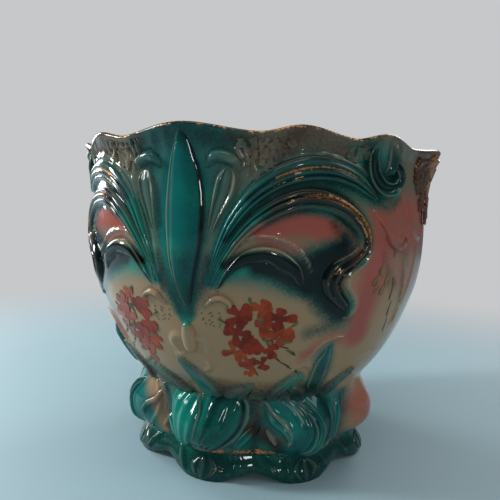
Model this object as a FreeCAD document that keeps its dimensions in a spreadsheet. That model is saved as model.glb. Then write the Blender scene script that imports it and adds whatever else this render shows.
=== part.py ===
"""A moulded and glazed earthenware jardiniere on its own low stand.

Millimetres, +Z up. The origin is on the table at the middle of the stand, and the front is -Y.
The bowl is round, with a scalloped lip. The stand is a hollow drum of eight pillow lobes on a
wavy foot. Both carry raised ornament: every leaf, plume and scroll is a piece of clay of its own,
laid on the wall with a thin bed of slip. The ornament is the same left and right of the front, and
the back repeats the front, so one quarter of it is drawn and the rest follows by mirror and half turn.
"""
import FreeCAD
import Part

import math
import os

from FreeCAD import Vector

doc = FreeCAD.newDocument("Jardiniere")

# ---------------------------------------------------------------- driving dimensions
SIZES = [
    ("total_height", 208.0, "table to the datum that the lip's waves are measured from"),
    ("stand_height", 53.0, "table to the seam at the waist"),
    ("waist_radius", 81.0, "outside of the seam between bowl and stand"),
    ("belly_radius", 119.0, "widest part of the bowl's body"),
    ("neck_radius", 118.5, "outside of the bowl under the flare of the lip"),
    ("lip_radius", 125.5, "outside edge of the lip"),
    ("lip_wave", 2.2, "rise and fall of the scalloped lip about its mean"),
    ("lip_scallop", 1.6, "in and out swing of the scalloped lip"),
    ("lip_thickness", 4.0, "thickness of the lip at its edge"),
    ("bowl_wall", 7.0, "thickness of the bowl's wall"),
    ("floor_thickness", 9.0, "thickness of the bowl's floor"),
    ("floor_radius", 62.0, "flat of the floor inside the bowl"),
    ("stand_wall", 7.0, "thickness of the stand's wall"),
    ("groove_radius", 75.0, "bottom of the groove between foot and lobes"),
    ("lobe_swell", 12.5, "how far a lobe stands out of the valleys beside it"),
    ("foot_radius", 78.5, "edge of the foot between two feet"),
    ("foot_spread", 6.0, "how far each foot stands out of that edge"),
    ("foot_arch", 6.0, "height of the arch between two feet"),
    ("foot_flat", 1.2, "depth ground off the feet so that they stand flat"),
    ("slip_bed", 0.3, "bed of slip between a piece of ornament and the wall"),
    ("leaf_relief", 4.2, "how far the lance leaf stands off the wall"),
    ("plume_relief", 3.6, "how far a plume stands off the wall"),
    ("small_relief", 2.6, "how far buds, curls, drips and ribbons stand off the wall"),
    ("stand_relief", 3.2, "how far the leaves and scrolls on the stand stand off it"),
    ("ornament_edge", 0.8, "thickness of a piece of ornament along its outline"),
]

sheet = doc.addObject("Spreadsheet::Sheet", "Sizes")
for row, (alias, value, note) in enumerate(SIZES, start=1):
    sheet.set(f"A{row}", alias)
    sheet.set(f"B{row}", str(value))
    sheet.setAlias(f"B{row}", alias)
    sheet.set(f"C{row}", note)
doc.recompute()


def size(alias):
    """The value of one cell of the sheet."""
    return float(sheet.get(alias))


STAND_TOP = size("stand_height")
BOWL_HEIGHT = size("total_height") - STAND_TOP
LOBES = 8
LOBE_PITCH = 360.0 / LOBES


# ---------------------------------------------------------------- curves through knots
def through(knots, x):
    """The smooth curve through (x, value) knots at x, flat beyond its ends."""
    if x <= knots[0][0]:
        return knots[0][1]
    if x >= knots[-1][0]:
        return knots[-1][1]
    last = len(knots) - 1
    i = max(k for k in range(last) if knots[k][0] <= x)

    def slope(k):
        a, b = knots[max(k - 1, 0)], knots[min(k + 1, last)]
        return (b[1] - a[1]) / (b[0] - a[0])

    (x0, y0), (x1, y1) = knots[i], knots[i + 1]
    span = x1 - x0
    u = (x - x0) / span
    rise = (2 * u**3 - 3 * u**2 + 1) * y0 + (3 * u**2 - 2 * u**3) * y1
    return rise + span * ((u**3 - 2 * u**2 + u) * slope(i) + (u**3 - u**2) * slope(i + 1))


def ease(u):
    """0 below 0, 1 above 1, and smooth between."""
    u = min(max(u, 0.0), 1.0)
    return u * u * (3 - 2 * u)


def from_front(angle):
    """The angle from the nearer of front and back, 0 to 90 degrees."""
    return abs((angle + 90.0) % 180.0 - 90.0)


# ---------------------------------------------------------------- the bowl's outside
# Share of the bowl's height, and share of the way from waist to belly.
BELLY_SHAPE = [
    (0.0, 0.0), (0.05, 0.12), (0.10, 0.28), (0.16, 0.44), (0.25, 0.625),
    (0.34, 0.77), (0.44, 0.905), (0.55, 0.98), (0.66, 1.0),
]
NECK_SHARE = 0.83
FLARE_START = 0.86
FLARE_MIDDLE = (0.945, 0.42)  # share of the height, share of the way from neck to lip

# Angle from the front, and height of the lip there, as a share of lip_wave.
LIP_CRESTS = [(0, 0.3), (19.5, -1.7), (30, 0.0), (44.5, -1.7), (54, 0.2), (66, -1.6), (90, 0.8)]


def bowl_outline(share):
    """Outside radius of the plain bowl at a share of its height."""
    waist, belly = size("waist_radius"), size("belly_radius")
    neck, lip = size("neck_radius"), size("lip_radius")
    knots = [(x, waist + y * (belly - waist)) for x, y in BELLY_SHAPE]
    knots += [(NECK_SHARE, neck), (FLARE_MIDDLE[0], neck + FLARE_MIDDLE[1] * (lip - neck)), (1.0, lip)]
    return through(knots, share)


def lip_height(angle):
    """Rise of the scalloped lip at an angle, -1.7 to 0.8: eased from crest to hollow."""
    a = from_front(angle)
    for (a0, h0), (a1, h1) in zip(LIP_CRESTS, LIP_CRESTS[1:]):
        if a <= a1:
            return h0 + (h1 - h0) * ease((a - a0) / (a1 - a0))
    return LIP_CRESTS[-1][1]


def flare(share):
    """How much of the scallop is felt at a share of the bowl's height."""
    return ease((share - FLARE_START) / (1 - FLARE_START))


def bowl_point(angle, share, inset=0.0, drop=0.0):
    """A point of the bowl's wall, inset from its outside and dropped from its height."""
    wave = flare(share) * lip_height(angle)
    radius = bowl_outline(share) + size("lip_scallop") * wave - inset
    height = STAND_TOP + share * BOWL_HEIGHT + size("lip_wave") * wave - drop
    a = math.radians(angle)
    return Vector(radius * math.sin(a), -radius * math.cos(a), height)


# ---------------------------------------------------------------- the stand's outside
GROOVE_SHARE = 0.30
# Share of the stand's height, and share of the way from groove to waist in the valleys.
VALLEY_SHAPE = [(GROOVE_SHARE, 0.0), (0.44, 0.3), (0.62, 0.55), (0.80, 0.8), (1.0, 1.0)]
# Share of the stand's height, and share of lobe_swell.
SWELL_SHAPE = [
    (GROOVE_SHARE, 0.30), (0.37, 0.70), (0.47, 0.96), (0.58, 1.0), (0.70, 0.90), (0.85, 0.46), (1.0, 0.0),
]
# Share of the stand's height, and share of the foot's step out from the groove.
FOOT_SHAPE = [(0.0, 0.92), (0.07, 1.0), (0.14, 0.80), (0.22, 0.35), (GROOVE_SHARE, 0.0)]
LOBE_FULLNESS = 0.7


def lobe(angle):
    """1 on the middle of a lobe or foot, 0 in the valley between two."""
    return (0.5 + 0.5 * math.cos(math.radians(LOBES * angle))) ** LOBE_FULLNESS


def stand_radius(angle, share):
    """Outside radius of the stand at a share of its height."""
    groove, waist = size("groove_radius"), size("waist_radius")
    if share >= GROOVE_SHARE:
        valley = groove + through(VALLEY_SHAPE, share) * (waist - groove)
        return valley + through(SWELL_SHAPE, share) * size("lobe_swell") * lobe(angle)
    step = size("foot_radius") + size("foot_spread") * lobe(angle) - groove
    start = size("lobe_swell") * SWELL_SHAPE[0][1] * lobe(angle)
    return groove + start + through(FOOT_SHAPE, share) * (step - start)


def foot_height(angle):
    """Height of the foot's lower edge, below the table by foot_flat where it will be ground off."""
    return size("foot_arch") * (1 - lobe(angle)) - size("foot_flat") * lobe(angle)


def stand_point(angle, share, inset=0.0):
    """A point of the stand's wall. Below the groove the rings bend with the arches of the foot."""
    low = foot_height(angle)
    groove_height = GROOVE_SHARE * STAND_TOP
    height = share * STAND_TOP
    if share < GROOVE_SHARE:
        height = low + (groove_height - low) * share / GROOVE_SHARE
    radius = stand_radius(angle, share) - inset
    a = math.radians(angle)
    return Vector(radius * math.sin(a), -radius * math.cos(a), height)


# ---------------------------------------------------------------- the wall under the ornament
def wall_radius(angle, height):
    """Outside radius of bowl or stand at a height above the table."""
    if height >= STAND_TOP:
        wave = lip_height(angle)
        share = (height - STAND_TOP) / BOWL_HEIGHT
        for _ in range(4):
            share = (height - STAND_TOP - size("lip_wave") * wave * flare(share)) / BOWL_HEIGHT
        return bowl_outline(share) + size("lip_scallop") * wave * flare(share)
    share = height / STAND_TOP
    if share < GROOVE_SHARE:
        low = foot_height(angle)
        share = GROOVE_SHARE * (height - low) / (GROOVE_SHARE * STAND_TOP - low)
    return stand_radius(angle, share)


def wall_gap(point):
    """How far a point lies outside the wall, measured level."""
    angle = math.degrees(math.atan2(point.x, -point.y))
    return math.hypot(point.x, point.y) - wall_radius(angle, point.z)


def wall_point(angle, height):
    radius = wall_radius(angle, height)
    a = math.radians(angle)
    return Vector(radius * math.sin(a), -radius * math.cos(a), height)


def wall_normal(point):
    """Unit vector straight out of the wall at a point on it."""
    step = 0.5
    axes = (Vector(step, 0, 0), Vector(0, step, 0), Vector(0, 0, step))
    slopes = [wall_gap(point + axis) - wall_gap(point - axis) for axis in axes]
    return Vector(*slopes).normalize()


# ---------------------------------------------------------------- surfaces and solids
RING_POINTS = 72
FLARE_SHARES = [0.91, 0.96, 1.0]
INSIDE_SHARES = [0.72, 0.55, 0.44, 0.34, 0.25, 0.19]
LIP_TURNS = [60, 120, 180]
STAND_SHARES = [0.0, 0.07, 0.14, 0.22, GROOVE_SHARE, 0.37, 0.47, 0.58, 0.70, 0.85, 1.0]
HOLLOW_SHARES = [0.0, GROOVE_SHARE, 0.50, 0.72, 1.0]


def ring(place):
    """A closed spline through the points that place gives for a full turn of angles."""
    curve = Part.BSplineCurve()
    points = [place(360.0 * k / RING_POINTS) for k in range(RING_POINTS)]
    turns = [k / RING_POINTS for k in range(RING_POINTS + 1)]
    curve.interpolate(Points=points, PeriodicFlag=True, Parameters=turns)
    return Part.Wire(curve.toShape())


def circle(radius, height):
    """A circle about the axis that starts at the front, where the rings start."""
    edge = Part.makeCircle(radius)
    edge.rotate(Vector(0, 0, 0), Vector(0, 0, 1), -90)
    edge.translate(Vector(0, 0, height))
    return Part.Wire(edge)


def strips(rings):
    """Ruled strips from each ring to the next."""
    return Part.makeLoft(rings, False, True).Faces


def spun(points, *straight):
    """The faces of a profile turned about the axis: a spline through points, then straight runs."""
    curve = Part.BSplineCurve()
    curve.interpolate([Vector(0, -radius, height) for radius, height in points])
    edges = [curve.toShape()]
    last = points[-1]
    for corner in straight:
        edges.append(Part.makeLine(Vector(0, -last[0], last[1]), Vector(0, -corner[0], corner[1])))
        last = corner
    return Part.Wire(edges).revolve(Vector(0, 0, 0), Vector(0, 0, 1), 360).Faces


def closed_solid(faces):
    """One solid from faces that share their edges."""
    shell = Part.makeShell(faces)
    shell.sewShape()
    solid = Part.Solid(shell)
    if solid.Volume < 0:
        solid.reverse()
    return solid


def bowl_solid():
    """The bowl: a turned body inside and out, a scalloped flare, a rounded lip, and a flat floor."""
    wall, lip = size("bowl_wall"), size("lip_thickness")
    floor_height = STAND_TOP + size("floor_thickness")
    flare_height = STAND_TOP + FLARE_START * BOWL_HEIGHT

    body = [share for share, _ in BELLY_SHAPE] + [0.77, FLARE_START]
    outside = [(bowl_outline(s), STAND_TOP + s * BOWL_HEIGHT) for s in reversed(body)]
    faces = spun(outside, (0.0, STAND_TOP))

    inside = [(bowl_outline(s) - wall, STAND_TOP + s * BOWL_HEIGHT) for s in [FLARE_START] + INSIDE_SHARES]
    corner, rise = inside[-1][0] - size("floor_radius"), inside[-1][1] - floor_height
    for degrees in (30, 60, 90):
        turn = math.radians(degrees)
        inside.append((size("floor_radius") + corner * math.cos(turn), floor_height + rise * (1 - math.sin(turn))))
    faces += spun(inside, (0.0, floor_height))

    outer = [ring(lambda a, s=s: bowl_point(a, s)) for s in FLARE_SHARES]
    faces += strips([circle(bowl_outline(FLARE_START), flare_height)] + outer)
    rounding = []
    for degrees in LIP_TURNS:
        turn = math.radians(degrees)
        inset, raised = lip / 2 * (1 - math.cos(turn)), lip / 2 * math.sin(turn)
        rounding.append(ring(lambda a, i=inset, r=raised: bowl_point(a, 1.0, inset=i, drop=-r)))
    faces += strips([outer[-1]] + rounding)

    def inner_inset(share):
        return lip + (wall - lip) * ease((1.0 - share) / (1.0 - FLARE_START))

    inner = [ring(lambda a, s=s: bowl_point(a, s, inset=inner_inset(s))) for s in reversed(FLARE_SHARES[:-1])]
    faces += strips([rounding[-1]] + inner + [circle(bowl_outline(FLARE_START) - wall, flare_height)])
    return closed_solid(faces)


def stand_casting():
    """The stand before its feet are ground flat: lobed outside, plainer hollow, open top and bottom."""
    wall = size("stand_wall")
    outside = [ring(lambda a, s=s: stand_point(a, s)) for s in STAND_SHARES]

    def hollow_point(angle, share):
        point = stand_point(angle, share)
        plain = size("groove_radius") + (size("waist_radius") - size("groove_radius")) * share - wall
        swell = 0.6 * through(SWELL_SHAPE, share) * size("lobe_swell") * lobe(angle)
        scale = (plain + swell) / math.hypot(point.x, point.y)
        return Vector(point.x * scale, point.y * scale, point.z)

    inside = [ring(lambda a, s=s: hollow_point(a, s)) for s in HOLLOW_SHARES]
    top = Part.Face([outside[-1], inside[-1]])
    top.validate()
    under = Part.makeRuledSurface(outside[0].Edges[0], inside[0].Edges[0])
    return closed_solid(strips(outside) + strips(inside) + [top] + under.Faces)


# ---------------------------------------------------------------- ornament laid on the wall
# An ornament is a list of stations along its middle: angle from the front in degrees, height,
# and half its width in mm. Heights on the bowl are shares of the bowl's height, and heights on
# the stand are shares of the stand's height, so the ornament stays on its wall.
BACK_CHORD = 9.0
STAND_BACK_CHORD = 4.0


class Crest:
    """The raised front of an ornament, as knots across it: place from -1 to 1, share of the relief."""

    def __init__(self, knots):
        self.knots = knots


DOME = Crest([(1, 0.0), (0.62, 0.74), (0, 1.0), (-0.62, 0.74), (-1, 0.0)])
MIDRIB = Crest([(1, 0.28), (0.78, 0.5), (0.24, 0.3), (0, 1.0), (-0.24, 0.3), (-0.78, 0.5), (-1, 0.28)])
CHANNEL = Crest([(1, 0.35), (0.72, 1.0), (0, 0.45), (-0.72, 1.0), (-1, 0.35)])


def ribbed(count):
    """A swelling front cut by valleys into count ribs."""
    knots = [(1, 0.1)]
    for k in range(2 * count - 1):
        u = 1 - (k + 1) / count
        swell = math.sqrt(1 - (0.85 * u) ** 2)
        knots.append((u, swell * (1.0 if k % 2 == 0 else 0.5)))
    return Crest(knots + [(-1, 0.1)])


def station(stations, s):
    """Angle, height and half width at s, 0 to 1 along the ornament."""
    last = len(stations) - 1
    return [through([(k / last, st[c]) for k, st in enumerate(stations)], s) for c in range(3)]


def cross_section(point, along, half_width, relief, crest, back_count):
    """The outline of an ornament cut square to its length: its back follows the wall."""
    out = wall_normal(point)
    side = out.cross(along).normalize()
    bed, edge = size("slip_bed"), size("ornament_edge")

    def on_wall(u):
        start = point + side * (u * half_width)
        step = 0.0
        for _ in range(6):
            step -= wall_gap(start + out * step) * 0.9
        return start + out * step

    back = [on_wall(2 * k / back_count - 1) + out * bed for k in range(back_count + 1)]
    front = [on_wall(u) + out * (bed + edge + relief * share) for u, share in crest.knots]
    return Part.makePolygon(back + front + [back[0]])


def laid_on(stations, relief, crest, base, span, back_chord, cuts=None, tips=(0.25, 0.25)):
    """An ornament of clay through its stations. relief tapers to the shares in tips at its two ends."""
    cuts = cuts or len(stations) + 2
    widest = max(half_width for _, _, half_width in stations)
    back_count = max(2, math.ceil(2 * widest / back_chord))
    sections = []
    for k in range(cuts + 1):
        s = k / cuts
        angle, height, half_width = station(stations, s)
        point = wall_point(angle, base + height * span)
        near = 0.01 if s < 0.5 else -0.01
        angle_b, height_b, _ = station(stations, s + near)
        ahead = (wall_point(angle_b, base + height_b * span) - point) * (1 if near > 0 else -1)
        taper = min(tips[0] + (1 - tips[0]) * ease(s / 0.25), tips[1] + (1 - tips[1]) * ease((1 - s) / 0.25))
        sections.append(cross_section(point, ahead, half_width, relief * taper, crest, back_count))
    solid = Part.makeLoft(sections, True, True)
    if solid.Volume < 0:
        solid.reverse()
    return solid


def on_bowl(stations, relief, crest, **options):
    return laid_on(stations, relief, crest, STAND_TOP, BOWL_HEIGHT, BACK_CHORD, **options)


def on_stand(stations, relief, crest, **options):
    return laid_on(stations, relief, crest, 0.0, STAND_TOP, STAND_BACK_CHORD, **options)


LANCE_LEAF = [(0, 0.385, 2.2), (0, 0.46, 5.4), (0, 0.55, 8.6), (0, 0.64, 9.8),
              (0, 0.74, 9.6), (0, 0.84, 8.2), (0, 0.92, 5.0), (0, 0.985, 1.2)]
UPPER_PLUME = [(8.2, 0.515, 1.2), (10.6, 0.605, 2.2), (13.8, 0.695, 3.4), (18.4, 0.775, 4.9), (24.2, 0.835, 6.1),
               (31.0, 0.870, 6.8), (38.0, 0.876, 6.6), (44.6, 0.852, 5.4), (50.2, 0.812, 3.2), (53.6, 0.786, 1.2)]
LOWER_PLUME = [(7.8, 0.460, 1.1), (10.6, 0.535, 1.8), (14.4, 0.617, 2.8), (19.0, 0.685, 3.9), (25.0, 0.740, 5.0),
               (31.5, 0.770, 5.6), (38.2, 0.763, 5.7), (44.4, 0.726, 5.3), (48.8, 0.670, 4.3), (49.9, 0.618, 3.3),
               (47.6, 0.578, 2.7), (43.2, 0.562, 2.6), (39.4, 0.540, 2.7), (37.9, 0.502, 2.8), (39.8, 0.464, 2.7),
               (43.8, 0.438, 2.4), (47.4, 0.412, 1.9), (48.4, 0.380, 1.1)]
DROOPING_LEAF = [(10.0, 0.456, 0.9), (13.3, 0.524, 2.1), (18.0, 0.572, 4.2), (23.4, 0.576, 5.4),
                 (28.8, 0.538, 5.0), (32.2, 0.480, 1.6)]
BUD = [(7.4, 0.655, 1.0), (8.6, 0.730, 3.0), (10.3, 0.800, 5.0), (11.8, 0.860, 4.2)]
HOOD = [(6.9, 0.885, 1.4), (9.4, 0.908, 2.6), (12.2, 0.900, 2.8), (14.4, 0.872, 1.2)]
ROOT_CURL = [(6.2, 0.392, 1.0), (8.6, 0.422, 1.5), (11.2, 0.427, 1.6), (13.4, 0.408, 1.2), (12.8, 0.388, 0.8)]
RIM_SCROLL = [(52.4, 0.975, 2.2), (51.0, 0.925, 3.2), (52.0, 0.870, 3.6), (55.0, 0.832, 3.8), (59.0, 0.836, 3.6),
              (60.6, 0.876, 3.0), (58.2, 0.908, 2.2), (56.2, 0.894, 1.2)]
RIBBON = [(52.6, 0.740, 0.9), (56.0, 0.690, 1.2), (60.0, 0.630, 1.4), (64.0, 0.612, 1.4), (67.4, 0.640, 1.3), (67.6, 0.700, 0.9)]
PENDANT_BUD = [(0, 0.335, 1.6), (0, 0.290, 4.6), (0, 0.240, 5.2), (0, 0.195, 2.2)]
CLASP_LEAF = [(46.0, 0.030, 5.0), (45.2, 0.095, 6.6), (44.2, 0.165, 5.6), (45.2, 0.245, 1.2)]
PALMETTE = [(0, 0.34, 4.0), (0, 0.46, 10.5), (0, 0.60, 17.0), (0, 0.76, 23.5), (0, 0.94, 26.0)]
STAND_SCROLL = [(42.0, 0.93, 1.8), (46.2, 0.80, 3.2), (48.0, 0.64, 3.8), (46.0, 0.46, 3.4), (41.4, 0.33, 1.6)]
STAND_TENDRIL = [(26.6, 0.90, 1.4), (29.6, 0.76, 2.0), (34.4, 0.66, 2.0), (37.4, 0.50, 1.2)]
LEAFLET = [(13.0, 0.40, 1.2), (16.0, 0.48, 3.0), (19.2, 0.56, 3.2), (21.8, 0.66, 1.0)]
SPIKE_LEAF = [(58.6, 0.40, 1.2), (61.0, 0.56, 3.4), (62.4, 0.74, 3.6), (62.0, 0.92, 1.0)]

# Drips hang from under the lip: angle, share of height where each ends, half width.
FRINGE_DRIPS = [(15.2, 0.925, 1.7), (18.4, 0.885, 2.2), (21.8, 0.875, 2.2), (25.2, 0.915, 1.9)]
DRIP_TOP = 0.968
CASCADE_HALF_ANGLE = 20.0
CASCADE_DRIPS = 9
CASCADE_TOP = 0.972
CASCADE_LOWEST = 0.745
CASCADE_OUTER = 0.855


def drip(angle, lowest, half_width, top, relief):
    """One drip: round shouldered under the lip, swelling, then drawn to a point."""
    drop = top - lowest
    path = [(angle, top, half_width * 0.75), (angle, top - drop * 0.35, half_width),
            (angle, top - drop * 0.75, half_width * 0.8), (angle, lowest, half_width * 0.3)]
    return on_bowl(path, relief, DOME, cuts=4, tips=(0.6, 0.3))


def fringe():
    return [drip(angle, low, half, DRIP_TOP, size("small_relief")) for angle, low, half in FRINGE_DRIPS]


def cascade():
    """The gilded fall of drips in the middle of each side, longest at its centre."""
    drips = []
    pitch = 2 * CASCADE_HALF_ANGLE / (CASCADE_DRIPS - 1)
    half_width = 0.46 * math.radians(pitch) * size("neck_radius")
    for k in range(CASCADE_DRIPS):
        off = k - (CASCADE_DRIPS - 1) / 2
        reach = math.cos(math.pi / 2 * abs(off) / (CASCADE_DRIPS / 2))
        step = 0.022 if k % 2 else 0.0
        lowest = CASCADE_OUTER + (CASCADE_LOWEST - CASCADE_OUTER) * reach + step
        drips.append(drip(90 + pitch * off, lowest, half_width, CASCADE_TOP, size("small_relief") + 1.8 * reach))
    return drips


def foot_shells():
    """A small ribbed pad on the front of each foot."""
    path = [(0, 0.26, 7.0), (0, 0.17, 12.0), (0, 0.075, 12.5)]
    pad = on_stand(path, size("small_relief") * 0.6, ribbed(3), cuts=3, tips=(0.4, 0.5))
    return [turned(pad, LOBE_PITCH * k) for k in range(LOBES)]


def turned(shape, degrees):
    copy = shape.copy()
    copy.rotate(Vector(0, 0, 0), Vector(0, 0, 1), degrees)
    return copy


def mirrored(shape):
    return shape.mirror(Vector(0, 0, 0), Vector(1, 0, 0))


# ---------------------------------------------------------------- the document's pieces
pieces = []


def add_piece(label, solids):
    """A named piece of the document from one solid or several."""
    piece = doc.addObject("Part::Feature", label)
    piece.Label = label
    piece.Shape = solids[0] if len(solids) == 1 else Part.makeCompound(solids)
    pieces.append(piece)
    return piece


def add_pair(name, solids):
    """The same ornament at the front and the back."""
    add_piece(f"{name}_front", solids)
    add_piece(f"{name}_back", [turned(s, 180) for s in solids])


def add_four(name, solids):
    """Ornament drawn right of the front, with its mirror image on the left and both again at the back."""
    flipped = [mirrored(s) for s in solids]
    add_piece(f"{name}_front_right", solids)
    add_piece(f"{name}_front_left", flipped)
    add_piece(f"{name}_back_left", [turned(s, 180) for s in solids])
    add_piece(f"{name}_back_right", [turned(s, 180) for s in flipped])


add_piece("bowl", [bowl_solid()])

casting = doc.addObject("Part::Feature", "stand_casting")
casting.Shape = stand_casting()
table = doc.addObject("Part::Box", "below_the_table")
table.setExpression("Length", "4 * Sizes.lip_radius")
table.setExpression("Width", "4 * Sizes.lip_radius")
table.setExpression("Height", "Sizes.stand_height")
table.setExpression("Placement.Base.x", "-2 * Sizes.lip_radius")
table.setExpression("Placement.Base.y", "-2 * Sizes.lip_radius")
table.setExpression("Placement.Base.z", "-Sizes.stand_height")
stand = doc.addObject("Part::Cut", "stand")
stand.Label = "stand"
stand.Base = casting
stand.Tool = table
doc.recompute()
pieces.append(stand)

add_pair("lance_leaf", [on_bowl(LANCE_LEAF, size("leaf_relief"), MIDRIB)])
add_four("upper_plume", [on_bowl(UPPER_PLUME, size("plume_relief"), ribbed(3))])
add_four("lower_plume", [on_bowl(LOWER_PLUME, size("plume_relief"), ribbed(3), cuts=24)])
add_four("drooping_leaf", [on_bowl(DROOPING_LEAF, size("plume_relief"), MIDRIB)])
add_four("hooded_bud", [
    on_bowl(BUD, size("small_relief"), CHANNEL),
    on_bowl(HOOD, size("plume_relief"), DOME, cuts=8),
])
add_four("root_curl", [on_bowl(ROOT_CURL, size("small_relief"), DOME)])
add_four("rim_scroll", [on_bowl(RIM_SCROLL, size("plume_relief"), CHANNEL, cuts=12)])
add_four("rim_fringe", fringe())
add_four("side_ribbon", [on_bowl(RIBBON, size("small_relief"), DOME)])
add_pair("pendant_bud", [on_bowl(PENDANT_BUD, size("plume_relief"), DOME)])
add_four("clasp_leaf", [on_bowl(CLASP_LEAF, size("plume_relief"), MIDRIB, cuts=8)])
side_cascade = cascade()
add_piece("cascade_right", side_cascade)
add_piece("cascade_left", [turned(s, 180) for s in side_cascade])
add_pair("palmette", [on_stand(PALMETTE, size("stand_relief"), ribbed(5), cuts=9, tips=(0.4, 0.3))])
add_four("stand_scroll", [
    on_stand(STAND_SCROLL, size("stand_relief"), CHANNEL, cuts=11),
    on_stand(STAND_TENDRIL, size("stand_relief"), DOME, cuts=8),
])
add_four("leaflet", [on_stand(LEAFLET, size("stand_relief"), MIDRIB, cuts=5)])
add_four("spike_leaf", [on_stand(SPIKE_LEAF, size("stand_relief"), MIDRIB, cuts=8)])
add_piece("foot_shells", foot_shells())

# ---------------------------------------------------------------- checks and export
doc.recompute()
for item in doc.Objects:
    if "Invalid" in item.State or "Error" in item.State:
        raise RuntimeError(f"{item.Label} failed to build")

os.makedirs("parts", exist_ok=True)
for piece in pieces:
    if piece.Shape.isNull() or not piece.Shape.isValid():
        raise RuntimeError(f"{piece.Label} has no valid shape")
    piece.Shape.exportStep(os.path.join("parts", f"{piece.Label}.step"))
    print(f"{piece.Label}: {len(piece.Shape.Solids)} solid(s), {piece.Shape.Volume / 1000:.2f} cm3")
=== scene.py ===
# %% [markdown]
# # A glazed jardiniere on its stand
#
# This file dresses a measured model of a moulded earthenware jardiniere. The real pot was cast in
# a plaster mould, sprayed with coloured slips through soft masks, sponged with gold, given small
# painted flowers, and dipped in a clear glaze. Each cell below makes one of those things, in the
# order that a pottery would. Lengths are worked out in millimetres and turned to metres at the end.

# %% Load the measured model
import math

import bpy
import numpy as np
from mathutils import Matrix, Vector


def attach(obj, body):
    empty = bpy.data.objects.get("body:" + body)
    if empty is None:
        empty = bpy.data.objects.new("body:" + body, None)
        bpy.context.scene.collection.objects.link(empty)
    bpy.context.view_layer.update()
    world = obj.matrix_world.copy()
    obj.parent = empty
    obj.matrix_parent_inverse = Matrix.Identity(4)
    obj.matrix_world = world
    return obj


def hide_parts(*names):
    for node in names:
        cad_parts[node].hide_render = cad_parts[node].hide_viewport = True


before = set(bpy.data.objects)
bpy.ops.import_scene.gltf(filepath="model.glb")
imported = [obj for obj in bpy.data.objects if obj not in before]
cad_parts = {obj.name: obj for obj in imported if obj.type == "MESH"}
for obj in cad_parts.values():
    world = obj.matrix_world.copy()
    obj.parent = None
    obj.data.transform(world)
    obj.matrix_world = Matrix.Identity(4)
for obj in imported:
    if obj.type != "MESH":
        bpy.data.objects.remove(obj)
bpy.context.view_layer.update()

MM = 0.001
print("measured nodes:", len(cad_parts))

# %% [markdown]
# ## The camera
#
# The camera comes first, so that every later choice can be judged from the photograph's side. Its
# place was solved from the ellipses of the lip and the foot: it stands close, a little right of
# the front, almost level with the upper third of the pot, and is rolled by a couple of degrees.

# %% Place the camera
CAMERA_AZIMUTH = math.radians(20)
CAMERA_DISTANCE = 358.8
CAMERA_HEIGHT = 160.1
CAMERA_ROLL = math.radians(2.2)
FOCAL_PIXELS, FRAME_PIXELS, SENSOR_WIDTH = 468.0, 500.0, 36.0
AXIS_PIXEL_RIGHT = 7.0
HORIZON_PIXELS_UP = 28.0


def put_in_scene(name, data):
    """A new object, linked to the scene."""
    thing = bpy.data.objects.new(name, data)
    bpy.context.scene.collection.objects.link(thing)
    return thing


def place_camera():
    pitch = -math.atan(HORIZON_PIXELS_UP / FOCAL_PIXELS)
    yaw = math.atan(AXIS_PIXEL_RIGHT / FOCAL_PIXELS)
    sin_az, cos_az = math.sin(CAMERA_AZIMUTH), math.cos(CAMERA_AZIMUTH)
    inward, across, up = Vector((-sin_az, cos_az, 0)), Vector((cos_az, sin_az, 0)), Vector((0, 0, 1))
    level = inward * math.cos(yaw) - across * math.sin(yaw)
    right = across * math.cos(yaw) + inward * math.sin(yaw)
    forward = level * math.cos(pitch) + up * math.sin(pitch)
    above = up * math.cos(pitch) - level * math.sin(pitch)
    rolled_right = right * math.cos(CAMERA_ROLL) + above * math.sin(CAMERA_ROLL)
    rolled_up = above * math.cos(CAMERA_ROLL) - right * math.sin(CAMERA_ROLL)
    axes = Matrix((rolled_right, rolled_up, -forward)).transposed().to_4x4()
    place = Vector((sin_az * CAMERA_DISTANCE, -cos_az * CAMERA_DISTANCE, CAMERA_HEIGHT)) * MM
    camera = put_in_scene("camera", bpy.data.cameras.new("camera"))
    camera.data.sensor_width = SENSOR_WIDTH
    camera.data.lens = FOCAL_PIXELS / FRAME_PIXELS * SENSOR_WIDTH
    camera.data.clip_start = 0.01
    camera.matrix_world = Matrix.Translation(place) @ axes
    bpy.context.scene.camera = camera
    return camera


print("camera lens:", round(place_camera().data.lens, 2), "mm")

# %% [markdown]
# ## The wall as a map
#
# The pot is nearly a turned form, so any spot on it has two map coordinates: its angle from the
# front in degrees, and its height in millimetres before the lip's waves lift it. Every leaf, ridge
# and patch of colour below is drawn on that map. The same functions that shape the measured
# model's wall are written here again with arrays, so that a whole map is worked out in one go.

# %% The wall's profile
STAND_TOP, BOWL_HEIGHT, TOTAL_HEIGHT = 53.0, 155.0, 208.0
WAIST, BELLY, NECK, LIP = 81.0, 119.0, 118.5, 125.5
LIP_WAVE, LIP_SCALLOP, LIP_THICKNESS, WALL = 2.2, 1.6, 4.0, 7.0
FLARE_START, FLOOR_HEIGHT, FLOOR_RADIUS = 0.86, 62.0, 62.0
BELLY_SHAPE = [(0, 0), (0.05, 0.12), (0.10, 0.28), (0.16, 0.44), (0.25, 0.625), (0.34, 0.77),
               (0.44, 0.905), (0.55, 0.98), (0.66, 1.0)]
BOWL_KNOTS = [(x, WAIST + y * (BELLY - WAIST)) for x, y in BELLY_SHAPE]
BOWL_KNOTS += [(0.83, NECK), (0.945, NECK + 0.42 * (LIP - NECK)), (1.0, LIP)]
LIP_CRESTS = [(0, 0.3), (19.5, -1.7), (30, 0.0), (44.5, -1.7), (54, 0.2), (66, -1.6), (90, 0.8)]
GROOVE_SHARE, GROOVE, LOBE_SWELL = 0.30, 75.0, 12.5
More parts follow.
